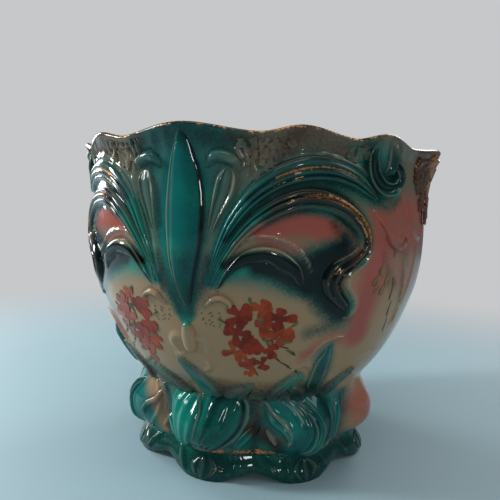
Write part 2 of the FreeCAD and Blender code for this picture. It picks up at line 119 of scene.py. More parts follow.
FOOT, FOOT_SPREAD, FOOT_ARCH, FOOT_FLAT = 78.5, 6.0, 6.0, 1.2
VALLEY_SHAPE = [(GROOVE_SHARE, 0.0), (0.44, 0.3), (0.62, 0.55), (0.80, 0.8), (1.0, 1.0)]
SWELL_SHAPE = [(GROOVE_SHARE, 0.30), (0.37, 0.70), (0.47, 0.96), (0.58, 1.0), (0.70, 0.90),
               (0.85, 0.46), (1.0, 0.0)]
FOOT_SHAPE = [(0.0, 0.92), (0.07, 1.0), (0.14, 0.80), (0.22, 0.35), (GROOVE_SHARE, 0.0)]


def through(knots, x):
    """A smooth curve through (x, value) knots, flat beyond its ends, for an array of x."""
    kx = np.array([k[0] for k in knots], float)
    ky = np.array([k[1] for k in knots], float)
    ends = np.arange(len(kx))
    before, after = np.maximum(ends - 1, 0), np.minimum(ends + 1, len(kx) - 1)
    slope = (ky[after] - ky[before]) / (kx[after] - kx[before])
    x = np.clip(np.asarray(x, float), kx[0], kx[-1])
    i = np.clip(np.searchsorted(kx, x, side="right") - 1, 0, len(kx) - 2)
    span = kx[i + 1] - kx[i]
    u = (x - kx[i]) / span
    rise = (2 * u**3 - 3 * u**2 + 1) * ky[i] + (3 * u**2 - 2 * u**3) * ky[i + 1]
    return rise + span * ((u**3 - 2 * u**2 + u) * slope[i] + (u**3 - u**2) * slope[i + 1])


def ease(u):
    u = np.clip(u, 0.0, 1.0)
    return u * u * (3 - 2 * u)


def fold(angle):
    """The angle from the nearer of front and back: the pot repeats every quarter, mirrored."""
    return np.abs((np.asarray(angle) + 90.0) % 180.0 - 90.0)


def half_turn(angle):
    """The angle from the front or back with its side kept, for what isn't mirrored."""
    return (np.asarray(angle) + 90.0) % 180.0 - 90.0


def lip_lift(angle):
    """How far the scalloped lip is lifted at an angle, eased from crest to hollow."""
    a = fold(angle)
    lift = np.full(a.shape, float(LIP_CRESTS[-1][1]))
    for (a0, h0), (a1, h1) in reversed(list(zip(LIP_CRESTS, LIP_CRESTS[1:]))):
        lift = np.where(a <= a1, h0 + (h1 - h0) * ease((a - a0) / (a1 - a0)), lift)
    return lift


def lobe(angle):
    return (0.5 + 0.5 * np.cos(np.radians(8 * np.asarray(angle)))) ** 0.7


def wall(angle, height, out=0.0):
    """Points of the outside wall in millimetres, moved out level by out."""
    angle, height, out = np.broadcast_arrays(np.asarray(angle, float), np.asarray(height, float), out)
    share = (height - STAND_TOP) / BOWL_HEIGHT
    wave = ease((share - FLARE_START) / (1 - FLARE_START)) * lip_lift(angle)
    bowl_r = through(BOWL_KNOTS, share) + LIP_SCALLOP * wave
    low = height / STAND_TOP
    bump = lobe(angle)
    upper = GROOVE + through(VALLEY_SHAPE, low) * (WAIST - GROOVE)
    upper = upper + through(SWELL_SHAPE, low) * LOBE_SWELL * bump
    start = LOBE_SWELL * SWELL_SHAPE[0][1] * bump
    lower = GROOVE + start + through(FOOT_SHAPE, low) * (FOOT + FOOT_SPREAD * bump - GROOVE - start)
    arch = FOOT_ARCH * (1 - bump) - FOOT_FLAT * bump
    groove_height = GROOVE_SHARE * STAND_TOP
    bent = arch + (groove_height - arch) * low / GROOVE_SHARE
    z = np.where(height >= groove_height, height, np.maximum(bent, 0.0))
    on_bowl = height >= STAND_TOP
    r = np.where(on_bowl, bowl_r, np.where(height >= groove_height, upper, lower)) + out
    z = np.where(on_bowl, height + LIP_WAVE * wave, z)
    a = np.radians(angle)
    return np.stack([r * np.sin(a), -r * np.cos(a), z], -1)


def wall_normal(angle, height):
    """Unit vectors straight out of the wall."""
    around = wall(angle + 0.4, height) - wall(angle - 0.4, height)
    upward = wall(angle, height + 0.4) - wall(angle, height - 0.4)
    n = np.cross(around, upward)
    return n / np.linalg.norm(n, axis=-1, keepdims=True)


print("wall at the front of the lip:", wall(0.0, TOTAL_HEIGHT).round(1))

# %% [markdown]
# ## Strokes on the map
#
# A mould maker's tool and an airbrush both move along strokes, so one helper serves both: for each
# spot on the map it gives the distance to a stroke, as a share of the stroke's half width. Relief
# is then a bump across that distance, and colour is a soft mask across it. Most of it is drawn
# only for the quarter right of the front, because the bowl is mirrored left and right and repeats
# at the back. The stand and the waist differ left and right: their strokes repeat by a half turn.

# %% Measure distance to a stroke
MAP_RADIUS = {"bowl": 116.0, "stand": 87.0}
POINTS_PER_STATION, FAR = 5, 99.0


def along(stations, count):
    """count smooth points along stations of angle, height and half width."""
    knots = np.array(stations, float)
    s = np.linspace(0, 1, len(knots))
    t = np.linspace(0, 1, count)
    return np.stack([through(list(zip(s, knots[:, c])), t) for c in range(knots.shape[1])], -1)


def stroke_reach(angle, height, stations, where="bowl", chart=fold, spread=2.5):
    """Distance to a stroke over its half width, at each spot on the map."""
    points = along(stations, POINTS_PER_STATION * len(stations))
    radius = MAP_RADIUS[where]
    px, py, pw = np.radians(points[:, 0]) * radius, points[:, 1], points[:, 2]
    x, y = np.broadcast_arrays(np.radians(chart(angle)) * radius, np.asarray(height, float))
    reach = np.full(x.shape, FAR)
    margin = spread * pw.max()
    near = (x > px.min() - margin) & (x < px.max() + margin)
    near &= (y > py.min() - margin) & (y < py.max() + margin)
    xs, ys = x[near], y[near]
    best = np.full(xs.shape, FAR)
    for k in range(len(px) - 1):
        dx, dy = px[k + 1] - px[k], py[k + 1] - py[k]
        t = np.clip(((xs - px[k]) * dx + (ys - py[k]) * dy) / (dx * dx + dy * dy + 1e-9), 0, 1)
        away = np.hypot(xs - px[k] - t * dx, ys - py[k] - t * dy)
        best = np.minimum(best, away / (pw[k] + (pw[k + 1] - pw[k]) * t))
    reach[near] = best
    return reach


def soft(reach, softness):
    """1 inside a stroke, fading to 0 over softness half widths beyond it."""
    return 1 - ease((reach - 1 + softness / 2) / softness)


print("mask on the edge of a stroke:", float(soft(1.0, 0.5)))

# %% [markdown]
# ## The plan of the ornament
#
# These tables are the heart of the piece. Each ornament is a short list of stations: angle from
# the front, height, and half width in millimetres. They were read off the photograph through the
# solved camera, and they agree with the measured model, whose pieces the meshes below replace.

# %% Stations of each ornament
def on_bowl(stations):
    """Stations given in shares of the bowl's height, as millimetres above the table."""
    return [(angle, STAND_TOP + share * BOWL_HEIGHT, half) for angle, share, half in stations]


def on_stand(stations):
    return [(angle, share * STAND_TOP, half) for angle, share, half in stations]


LANCE_LEAF = on_bowl([(1.2, 0.385, 2.2), (1.0, 0.46, 5.2), (0.9, 0.55, 9.0), (1.1, 0.64, 11.2),
                      (0.9, 0.74, 11.8), (0.6, 0.84, 10.0), (0.4, 0.92, 6.2), (0.2, 0.985, 1.4)])
UPPER_PLUME = on_bowl([(8.2, 0.515, 1.2), (10.6, 0.605, 2.2), (13.8, 0.695, 3.4), (18.4, 0.775, 4.9),
                       (24.2, 0.835, 6.1), (31.0, 0.870, 6.8), (38.0, 0.876, 6.6), (44.6, 0.852, 5.4),
                       (50.2, 0.812, 3.2), (53.6, 0.786, 1.2)])
LOWER_PLUME = on_bowl([(7.8, 0.460, 1.1), (10.6, 0.535, 1.8), (14.4, 0.617, 2.8), (19.0, 0.685, 3.9),
                       (25.0, 0.740, 5.0), (31.5, 0.770, 5.6), (38.2, 0.763, 5.7), (44.4, 0.726, 5.3),
                       (48.4, 0.670, 4.8), (48.8, 0.618, 4.8), (46.2, 0.578, 5.2), (42.8, 0.548, 5.8),
                       (40.6, 0.514, 6.2), (40.6, 0.478, 6.0), (42.8, 0.444, 5.2), (45.6, 0.412, 4.0),
                       (46.8, 0.380, 1.4)])
DROOPING_LEAF = on_bowl([(10.0, 0.456, 0.9), (13.3, 0.524, 2.1), (18.0, 0.572, 4.2), (23.4, 0.576, 5.4),
                         (28.8, 0.538, 5.0), (32.2, 0.480, 1.6)])
BUD = on_bowl([(7.8, 0.640, 1.0), (9.4, 0.715, 3.4), (11.2, 0.790, 5.8), (12.2, 0.865, 5.0)])
HOOD = on_bowl([(7.0, 0.880, 1.8), (9.2, 0.908, 3.2), (12.4, 0.902, 3.6), (15.0, 0.868, 1.6)])
ROOT_CURL = on_bowl([(6.2, 0.392, 1.0), (8.6, 0.422, 1.5), (11.2, 0.427, 1.6), (13.4, 0.408, 1.2),
                     (12.8, 0.388, 0.8)])
RIM_SCROLL = on_bowl([(50.6, 0.978, 2.4), (49.8, 0.925, 3.8), (51.0, 0.868, 4.6), (54.8, 0.828, 5.0),
                      (59.2, 0.832, 4.6), (61.2, 0.876, 3.8), (58.6, 0.914, 3.0), (55.8, 0.896, 1.6)])
RIBBON = on_bowl([(52.6, 0.740, 0.9), (56.0, 0.690, 1.2), (60.0, 0.630, 1.4), (64.0, 0.612, 1.4),
                  (67.4, 0.640, 1.3), (67.6, 0.700, 0.9)])
PENDANT_BUD = on_bowl([(0, 0.335, 1.6), (0, 0.290, 4.6), (0, 0.240, 5.2), (0, 0.195, 2.2)])
CLASP_LEAF = on_bowl([(46.0, 0.030, 5.0), (45.2, 0.095, 6.6), (44.2, 0.165, 5.6), (45.2, 0.245, 1.2)])
FRONT_LEAF = [(-6.0, 17.5, 3.0), (-8.0, 25.0, 8.0), (-9.0, 35.0, 12.0), (-9.0, 45.0, 13.0), (-7.0, 54.0, 9.5),
              (-3.0, 62.0, 2.5)]
FRONT_LEAF_BEHIND = [(0.0, 20.0, 3.5), (5.0, 28.0, 8.0), (9.5, 37.5, 12.5), (11.5, 47.0, 13.5),
                     (12.0, 55.0, 9.0), (13.5, 61.0, 2.0)]
WAIST_LEAVES = [
    [(5.0, 48.0, 8.0), (3.0, 57.0, 8.0), (-1.0, 67.0, 6.0), (-4.5, 76.0, 3.2), (-6.5, 82.0, 0.8)],
    [(11.5, 48.0, 10.0), (14.0, 55.0, 7.6), (18.0, 61.0, 3.8), (20.5, 64.5, 0.9)],
    [(-9.0, 48.0, 9.0), (-13.0, 56.0, 6.6), (-19.0, 65.0, 4.6), (-26.0, 72.0, 0.9)],
    [(27.0, 48.0, 5.0), (29.5, 57.0, 5.2), (32.5, 65.0, 4.4), (36.0, 71.5, 2.8), (39.6, 69.0, 1.0)],
    [(43.0, 48.0, 5.0), (40.0, 56.0, 5.0), (36.5, 62.0, 3.8), (33.5, 64.0, 1.0)],
    [(51.0, 48.0, 5.0), (54.5, 57.0, 5.6), (58.0, 66.0, 4.2), (61.0, 73.0, 0.9)],
    [(-36.0, 48.0, 6.0), (-35.0, 58.0, 6.0), (-37.5, 69.0, 4.6), (-41.0, 78.0, 0.9)],
    [(-52.0, 48.0, 5.0), (-55.0, 58.0, 5.0), (-53.5, 67.0, 3.2), (-50.0, 73.0, 0.9)],
]
RIM_LEAF = on_bowl([(55.6, 0.985, 2.6), (57.6, 0.950, 4.4), (57.8, 0.905, 4.2), (56.0, 0.870, 2.6)])
STAND_SCROLL = on_stand([(42.0, 0.93, 1.8), (46.2, 0.80, 3.2), (48.0, 0.64, 3.8), (46.0, 0.46, 3.4),
                         (41.4, 0.33, 1.6)])
STAND_TENDRIL = on_stand([(26.6, 0.90, 1.4), (29.6, 0.76, 2.0), (34.4, 0.66, 2.0), (37.4, 0.50, 1.2)])
LEAFLET = on_stand([(13.0, 0.40, 1.2), (16.0, 0.48, 3.0), (19.2, 0.56, 3.2), (21.8, 0.66, 1.0)])
SPIKE_LEAF = on_stand([(58.6, 0.40, 1.2), (61.0, 0.56, 3.4), (62.4, 0.74, 3.6), (62.0, 0.92, 1.0)])
print("stations in the longest ornament:", len(LOWER_PLUME))

# %% [markdown]
# ## Relief cut in the wall itself
#
# Between the laid-on leaves the mould also has shallow carving: stalks that rise to the buds, the
# sunk pink panel with its rolled edge, flutes under the lip, and creases where the clasping leaves
# meet the waist. Each is one stroke with a height, positive for a ridge and negative for a groove.

# %% Ridges and grooves of the wall
WALL_RIDGES = [
    # stations of angle, height and half width; rise in mm; softness
    ([(6.4, 131, 1.2), (8.2, 150, 1.5), (8.8, 168, 1.4), (8.4, 180, 0.9)], 0.7, 1.6),
    ([(6.6, 122, 0.9), (9.6, 140, 1.2), (11.6, 154, 1.3), (15.0, 168, 1.2), (16.4, 181, 1.2),
      (15.4, 190, 0.8)], 0.8, 1.5),
    ([(14.0, 166, 0.9), (16.1, 177, 1.2), (20.9, 187.2, 1.3), (27, 193.6, 1.4), (33.8, 196.4, 1.4),
      (40.1, 195.4, 1.3),
      (46.5, 191, 1.1), (51.6, 184, 0.8)], 1.2, 1.5),
    ([(14.8, 148.1, 0.6), (19.1, 152.6, 0.9), (23.5, 152.6, 1.0), (27.8, 150.0, 1.0), (31.2, 145, 0.9),
      (33.6, 138.4, 0.7), (33.8, 132, 0.5)], 1.6, 1.3),
    ([(26, 168.4, 0.6), (31.5, 170.0, 0.8), (37, 167.4, 0.8), (42.3, 159.8, 0.8),
      (45.6, 150.4, 0.6)], 1.1, 1.4),
    ([(10.5, 136, 0.8), (14.6, 141.6, 1.0), (19.2, 142.2, 1.0), (22.6, 138.2, 1.0), (26.0, 138.6, 1.0),
      (30.6, 136.8, 0.8)], 0.9, 1.3),
    ([(51.6, 147.0, 0.7), (49.8, 139.8, 1.0), (46.2, 134.4, 1.1), (45.0, 128.8, 1.1),
      (48.1, 121.5, 1.1), (49.4, 113.8, 1.0),
      (46.4, 108.8, 0.8)], 1.5, 1.3),
    ([(36, 78, 0.8), (37.2, 82.8, 1.1), (38.5, 86.4, 1.3), (40.4, 92.5, 1.3), (44, 96.8, 1.1),
      (48.3, 98, 0.7)], 1.7, 1.3),
    ([(33.5, 76, 0.7), (36.2, 79.5, 1.0), (39.4, 79.0, 1.0), (41.0, 75.0, 0.7)], 1.3, 1.4),
    ([(1.2, 93.5, 1.0), (4.6, 94.5, 1.8), (6.4, 90.5, 1.9), (5.0, 86.0, 1.2)], 1.3, 1.5),
    ([(2.6, 84, 1.0), (5.2, 81.0, 1.7), (5.6, 76.0, 1.5), (3.4, 73.0, 0.9)], 1.2, 1.5),
    ([(52.4, 168, 0.9), (54.4, 160.5, 1.1), (59.9, 154.4, 1.2), (65.5, 153.8, 1.2), (68.0, 160, 1.0),
      (67.6, 168, 0.8)], 1.1, 1.5),
    ([(56.0, 176, 0.9), (60.6, 170, 1.1), (63.6, 162, 1.1), (62.2, 157, 0.8)], 0.9, 1.5),
    ([(69.0, 176, 0.8), (72.5, 160, 1.2), (78.0, 155, 1.2), (82.0, 164, 1.0), (82.6, 176, 0.8)], 1.0, 1.5),
    ([(63.5, 166, 1.0), (66.0, 150, 1.6), (68.6, 134, 1.6), (71.0, 116, 1.4), (71.8, 100, 0.9)], 0.8, 1.6),
    ([(76.0, 150, 1.2), (75.0, 132, 1.6), (73.5, 116, 1.4), (72.0, 103, 0.9)], 0.8, 1.6),
    ([(55.5, 73, 0.7), (60.0, 80, 1.0), (66.0, 84, 1.1), (72.0, 82, 0.8)], 0.7, 1.5),
]
WALL_SINKS = [
    ([(18, 154, 4), (25, 160, 7), (33, 162, 8), (40, 156, 7), (43, 151, 4)], -1.1, 0.7),
    ([(3.6, 108, 1.0), (6.6, 130, 1.3), (7.6, 158, 1.4), (6.4, 180, 1.2), (3.4, 198, 0.8)], -1.0, 1.3),
    ([(39.0, 142, 3), (36.8, 133, 4), (38.4, 125, 4), (43, 115, 3)], -0.9, 1.1),
    ([(24, 133, 2), (29, 131, 4), (32.5, 126, 3)], -0.7, 1.2),
]
FLUTE_STEP, FLUTE_DEPTH, FLUTE_START, FLUTE_END = 4.3, 0.3, 193, 207.5
WAIST_LEAF_RELIEF = 2.6


def ridges(angle, height, strokes, where="bowl", chart=fold):
    """The highest of several ridges at each spot, in millimetres."""
    rise = np.zeros(np.broadcast(angle, height).shape)
    for stations, amount, softness in strokes:
        reach = stroke_reach(angle, height, stations, where, chart, spread=3)
        rise = np.maximum(rise, amount * soft(reach, softness))
    return rise


def wall_relief(angle, height):
    """Carved height of the bowl's wall in millimetres."""
    rise = ridges(angle, height, WALL_RIDGES)
    for stations, amount, softness in WALL_SINKS:
        reach = stroke_reach(angle, height, stations, spread=3)
        rise = np.where(rise > 0.05, rise, rise + amount * soft(reach, softness))
    for stations in WAIST_LEAVES:
        reach = stroke_reach(angle, height, stations, "bowl", half_turn, spread=2)
        bulge = np.sqrt(np.clip(1 - reach**2, 0, 1)) * (1 - 0.35 * np.exp(-((reach / 0.18) ** 2)))
        rise = np.maximum(rise, WAIST_LEAF_RELIEF * bulge)
    flutes = 0.5 + 0.5 * np.cos(2 * np.pi * fold(angle) / FLUTE_STEP)
    band = ease((height - FLUTE_START) / 5) * ease((FLUTE_END - height) / 3)
    clear = 1 - soft(stroke_reach(angle, height, RIM_SCROLL, spread=3), 1.2)
    return rise + FLUTE_DEPTH * band * clear * (flutes**1.5 - 0.3)


print("carving at the stalk:", wall_relief(np.array([7.2]), np.array([150.0])).round(2), "mm")

# %% [markdown]
# ## The paint plan
#
# Five things lie under the clear glaze: teal and a darker teal sprayed in soft clouds, dusty pink,
# a brown stain, and gold dabbed on with a sponge. Each is a mask on the map, built from strokes. A
# last mask marks the pale edges and ridges, where the glaze runs thin and shows the pale body, with
# a painted highlight there too. Painted shade in hollows, creases and outlines is laid with the
# darker teal. The masks go into the mesh as two colour attributes, and the material turns them into
# colour and grain.

# %% Strokes of colour
TEAL_STROKES = [
    ([(0, 104, 3), (0, 116, 8), (0, 138, 15), (0, 163, 22), (0, 188, 27), (0, 206, 28)], 0.5, 0.80),
    ([(1, 106, 3), (1, 128, 8), (1, 150, 11), (0.8, 180, 11), (0.2, 206, 4)], 0.2, 1.0),
    ([(9, 135, 4), (13.8, 161, 5.5), (18.4, 173, 7), (24, 182, 8), (31, 187.5, 9), (38, 188, 9),
      (46, 184, 8), (53, 178, 7)], 0.6, 1.0),
    ([(7, 128, 3), (10.0, 139, 3.4), (13.6, 152, 3.4), (18.4, 162, 3.6), (24.6, 170, 4.4),
      (31.5, 172.4, 6.5), (38.2, 171.3, 6.5),
      (44.4, 165.5, 6.5), (48.8, 156.9, 5.5), (49.9, 148.8, 4.5), (47.6, 142.6, 4.5), (43.2, 140, 5),
      (39.4, 136.7, 5.5),
      (37.9, 130.8, 6), (39.8, 124.9, 6), (43.8, 120.9, 5), (47.0, 115.9, 4), (46.4, 110, 3)], 0.45, 1.0),
    ([(9, 128, 4), (12, 134, 5), (17, 138, 6), (23, 137, 7), (29, 134, 8), (33, 129, 7)], 0.5, 1.0),
    ([(8, 128, 3), (16, 132, 5), (25, 131, 6.5), (33, 126, 6)], 1.0, 0.75),
    ([(0, 207, 6), (8, 205, 7), (14, 202, 4)], 1.0, 0.9),
    ([(44, 203, 4), (49, 198, 8), (55, 189, 10), (60, 182, 7)], 0.7, 0.95),
    ([(44, 53, 8), (45, 69, 8), (44, 83, 7), (45, 92, 2)], 0.6, 0.95),
    ([(38, 113, 3), (42, 107, 4), (48, 103, 3)], 1.3, 0.5),
]
DEEP_STROKES = [
    ([(12, 137, 2.5), (17, 140.5, 4), (23, 140, 5), (28, 136, 6), (33, 130, 5)], 0.5, 1.0),
    ([(20, 136, 4), (26, 135, 6.5), (31, 132, 7.5), (33.5, 126, 5)], 0.75, 1.0),
    ([(43, 150, 3), (40, 146, 6), (34, 140, 7)], 0.8, 0.9),
    ([(41, 143, 5), (37.6, 134, 7), (38.4, 126, 7), (41, 119, 6), (45, 112, 5)], 0.7, 1.0),
    ([(36.5, 140, 5), (35.6, 132, 6), (37.5, 122, 6.5), (42, 113, 5.5)], 0.9, 0.75),
    ([(43, 155, 2), (44, 150, 3.5), (42, 146, 4), (37, 143, 3.5)], 0.9, 0.85),
    ([(12, 150, 1), (19, 166, 1.6), (26, 174.5, 1.8), (33, 178.5, 2), (40, 176.5, 2), (46, 168, 1.6),
      (50.5, 158, 1)], 1.2, 0.85),
    ([(18, 172, 3), (24, 181, 7), (31, 187, 8.5), (38, 187.5, 8.5), (46, 183, 7.5), (52, 178, 5)], 0.8, 0.66),
    ([(22, 163, 4), (26, 168, 5), (31.5, 172, 6), (38, 171, 6), (44, 165, 6), (48.8, 157, 5),
      (49.9, 149, 4)], 0.7, 0.72),
    ([(2, 110, 3), (3, 118, 4), (6, 128, 4), (7.5, 140, 3)], 1.0, 0.7),
    ([(0, 108, 3), (0, 122, 6), (0, 136, 8)], 0.9, 0.5),
    ([(0, 206, 6), (9, 203, 7), (16, 202, 5)], 0.9, 0.72),
    ([(48, 203, 5), (50, 193, 7), (55, 186, 8), (60, 188, 7), (58, 197, 6)], 0.8, 0.8),
    ([(52, 174, 3), (58, 172, 3), (63, 176, 2)], 1.3, 0.55),
    # The next two strokes darken the bowl at its joint with the stand.
    ([(6, 54, 3), (20, 54.5, 3.5), (34, 55, 4)], 1.2, 0.8),
    ([(38, 56, 4), (48, 58, 5), (60, 55, 4)], 1.2, 0.85),
    ([(47, 60, 5), (46, 68, 5), (45, 78, 4)], 1.0, 0.6),
    ([(45, 60, 6), (44.5, 76, 5)], 1.0, 0.45),
    ([(36, 100, 3), (44, 105, 4), (48, 108, 3)], 1.5, 0.45),
]
PINK_STROKES = [
    ([(20, 154, 3), (26, 159.5, 6), (33, 161, 8), (39, 157, 8), (42, 150, 6)], 0.55, 1.0),
    ([(21, 151, 2.5), (27, 149, 3.5), (32, 144, 3)], 1.0, 0.6),
    ([(54, 168, 6), (56, 153, 9), (54, 135, 10), (53, 115, 10), (54, 98, 8)], 0.8, 1.0),
    ([(60, 172, 8), (74, 170, 9), (90, 172, 9)], 0.9, 0.95),
    ([(62, 156, 8), (76, 152, 9), (90, 154, 8)], 1.0, 0.75),
    ([(60, 138, 8), (75, 133, 9), (90, 136, 8)], 1.2, 0.5),
    ([(84, 150, 6), (87, 135, 6), (88, 118, 5)], 1.0, 0.6),
    ([(36, 86, 3), (42, 93, 4), (50, 98, 5), (56, 97, 5)], 1.0, 0.75),
]
BROWN_STROKES = [
    # A darker brown band low on the bowl, just above its joint with the stand.
    ([(8, 59, 6), (22, 58, 7), (36, 59, 6), (46, 61, 5)], 1.1, 0.7),
    ([(13, 205, 4), (19.5, 199, 7), (25, 199, 6.5), (29, 206, 4)], 0.8, 0.75),
    ([(28, 205, 5), (36, 202, 7), (44, 203, 6)], 0.9, 0.55),
    ([(24, 167, 2.5), (30, 173, 3.5), (36, 174, 4.2), (42, 170, 4.6), (47, 162, 4.6), (49.8, 154, 4),
      (50.2, 148, 3)], 0.7, 0.85),
    ([(48, 147, 3), (44, 139.5, 4), (41, 133, 5), (41, 127, 5), (43, 121, 4), (46, 115, 3)], 0.6, 0.95),
    ([(40, 160, 3), (43, 154, 4), (43, 148, 4)], 1.0, 0.75),
    ([(70, 206, 4), (79, 201, 9), (90, 195, 14)], 0.6, 0.9),
    ([(80, 182, 6), (90, 175, 7)], 1.0, 0.45),
    ([(57, 145, 2), (60, 135, 3), (64, 125, 3)], 1.4, 0.4),
    ([(66, 152, 3), (69, 138, 4), (70, 120, 3)], 1.4, 0.35),
]
GOLD_STROKES = [
    ([(27, 171.5, 1.2), (33, 175.0, 2.0), (40, 173.5, 2.6), (46, 166, 2.8), (49.6, 156, 2.6),
      (50.4, 148, 1.6)], 0.9, 0.50),
    ([(43, 139, 1.2), (39.4, 134, 1.6), (38.8, 128, 1.6), (42, 121.5, 1.4), (46.5, 117, 1.0)], 0.9, 0.45),
    ([(22, 180, 0.8), (29, 187.5, 1.2), (38, 190, 1.5), (46, 186, 1.5), (52, 180, 1.0)], 1.0, 0.40),
    ([(50, 199, 1.0), (53, 190, 1.2), (57, 187, 1.4), (59, 190, 1.0)], 1.2, 0.42),
    ([(76, 206, 4), (83, 198, 8), (90, 188, 12)], 0.8, 0.42),
]
LEAF_SOFTNESS, PILLOW_EDGE = 0.75, 63


def mask(angle, height, strokes, where="bowl", chart=fold):
    """The strongest of several soft strokes at each spot."""
    strength = np.zeros(np.broadcast(angle, height).shape)
    for stations, softness, amount in strokes:
        reach = stroke_reach(angle, height, stations, where, chart, spread=3)
        strength = 1 - (1 - strength) * (1 - amount * soft(reach, 2 * softness))
    return strength


print("teal at the leaf's foot:", mask(np.array([0.0]), np.array([120.0]), TEAL_STROKES).round(2))

# %% [markdown]
# The stand has its own plan: teal over almost all of it, a beige lane left of the front leaf, plain
# pink pillows at the two sides, a red-brown blush, and gold along the edge of the foot. The lane on
# the left is partly a painted highlight, and the deep teal, stronger on the right, is partly painted
# shade.

# %% Colours of the stand
# Beige lanes; the wide one on the left is partly a painted highlight.
STAND_CREAM_AND_HIGHLIGHT = [
    ([(-38, 56, 6), (-33, 50, 8), (-28, 42, 7), (-26, 31, 6), (-27, 21, 4)], 0.7, 0.95),
    ([(21, 61, 3), (23, 48, 3), (22, 39, 3)], 1.0, 0.35),
    ([(62, 24, 3), (70, 18, 4)], 1.2, 0.4),
]
STAND_PINK = [
    ([(74, 42, 8), (90, 36, 15), (106, 42, 8)], 0.7, 0.75),
    ([(-74, 42, 8), (-90, 36, 15)], 0.7, 0.75),
    ([(-32, 47, 3), (-26, 36, 4)], 1.2, 0.25),
]
STAND_BROWN = [
    ([(19, 35, 3), (25, 32, 5), (31, 26, 4.5)], 0.8, 0.9),
    ([(34, 32, 1.2), (36, 28, 1.5)], 1.2, 0.6),
    ([(-6, 21, 1.5), (6, 19.5, 2.5), (16, 18, 2.5), (30, 18, 2)], 1.2, 0.55),
]
STAND_GOLD = [
    ([(-4, 21.5, 1.6), (5, 20, 2.6), (13, 18.5, 2.6), (20, 18, 2.2), (30, 18.5, 2.0),
      (37, 17, 1.2)], 0.8, 0.62),
    ([(50, 16, 1.8), (57, 21, 2.2), (63, 27, 1.8)], 1.0, 0.55),
    ([(8, 8, 1.8), (10, 6.5, 1.4)], 1.0, 0.55),
    ([(51, 8, 1.8), (53, 6.5, 1.4)], 1.0, 0.55),
    ([(-60, 17, 1.4), (-52, 18, 1.6)], 1.0, 0.35),
]
# Deep teal, stronger on the right than on the left, partly painted shade; the last stroke darkens the bottom of
# the feet.
STAND_DEEP_AND_SHADE = [
    ([(2, 26, 3), (8, 38, 7), (13, 49, 8)], 0.9, 0.45),
    ([(20, 52, 4), (23, 42, 4), (22, 30, 3)], 1.1, 0.45),
    ([(27, 28, 3), (33, 22, 4)], 1.1, 0.75),
    ([(40, 24, 3), (43, 36, 3), (41, 48, 3)], 1.4, 0.5),
    ([(52, 52, 5), (55, 40, 5), (54, 28, 5)], 1.0, 0.8),
    ([(-52, 52, 5), (-55, 40, 5), (-54, 28, 5)], 1.0, 0.5),
    ([(-90, 6, 11), (-45, 6, 11), (0, 6, 11), (45, 6, 11), (90, 6, 11)], 0.6, 0.76),
]


def paint_masks(angle, height):
    """Spray masks (teal, pink, deep, brown) and the gold mask at each spot."""
    leaves = [(leaf, LEAF_SOFTNESS, 0.95) for leaf in WAIST_LEAVES]
    teal = np.maximum(mask(angle, height, TEAL_STROKES), mask(angle, height, leaves, "bowl", half_turn))
    pink = mask(angle, height, PINK_STROKES) * (1 - 0.9 * teal)
    deep, brown, gold = (mask(angle, height, s) for s in (DEEP_STROKES, BROWN_STROKES, GOLD_STROKES))
    bowl_masks = [np.maximum(teal, deep), pink, deep, brown, gold]
    pillow = (fold(angle) - PILLOW_EDGE - 0.012 * (height - 35) ** 2) / 14
    sides = ease(pillow) * ease((height - 14) / 12)
    cream = mask(angle, height, STAND_CREAM_AND_HIGHLIGHT, "stand", half_turn)
    stand_masks = [(1 - 0.95 * cream) * (1 - sides)]
    for strokes in (STAND_PINK, STAND_DEEP_AND_SHADE, STAND_BROWN, STAND_GOLD):
        stand_masks.append(mask(angle, height, strokes, "stand", half_turn))
    low = np.clip((STAND_TOP + 5 - np.broadcast_to(height, teal.shape)) / 8, 0, 1)
    return [b * (1 - low) + s * low for b, s in zip(bowl_masks, stand_masks)]


SPOT = (np.array([30.0]), np.array([157.0]))
print("masks at the panel:", [float(m.round(2)[0]) for m in paint_masks(*SPOT)])

# %% [markdown]
# ## Mesh helpers
#
# All walls and leaves are grids of points, closed into a skin. The helpers below turn such a grid
# into a mesh, store the paint masks on it, and hand it to the frame with the node that it replaces.

# %% Masks for a set of points
# The spray layer also carries painted shade in its deep teal, and the finish layer painted highlight on pale
# edges.
SPRAY_AND_SHADE_LAYER, FINISH_AND_HIGHLIGHT_LAYER = "spray_and_shade", "finish_and_highlight"
CREASE_ANGLE = math.radians(55)
TONE_START, TONE_SPAN = 108, 70
made = []


def paint_and_light_masks(angle, height, thin=0.0, gold_extra=0.0, lip=0.0, dark_glaze_and_shade=0.0, brown_extra=0.0):
    """The two colour attributes of a set of points: paint with painted shade, and finish with painted
    highlight.
    """
    shape = np.broadcast(angle, height).shape
    teal, pink, deep, brown, gold = paint_masks(angle, height)
    # Painted shade of hollows, creases and outlines, with pooled glaze, joins the deep teal here.
    deep = 1 - (1 - deep) * (1 - np.broadcast_to(dark_glaze_and_shade, shape))
    brown = np.maximum(brown, brown_extra)
    gold = np.clip(gold + gold_extra, 0, 1)
    spray_and_shade = np.stack([teal, pink, deep, brown], -1)
    tone = ease((np.broadcast_to(height, shape) - TONE_START) / TONE_SPAN)
    finish_and_highlight = np.stack([gold, np.broadcast_to(thin, shape), tone, np.broadcast_to(lip, shape)], -1)
    return spray_and_shade.reshape(-1, 4), finish_and_highlight.reshape(-1, 4)


def plain_masks(count, tone):
    """The two colour attributes where nothing is sprayed, as inside the pot."""
    spray_and_shade, finish_and_highlight = np.zeros((count, 4)), np.zeros((count, 4))
    finish_and_highlight[:, 2] = tone
    return spray_and_shade, finish_and_highlight


print("paint layers:", SPRAY_AND_SHADE_LAYER, "and", FINISH_AND_HIGHLIGHT_LAYER)

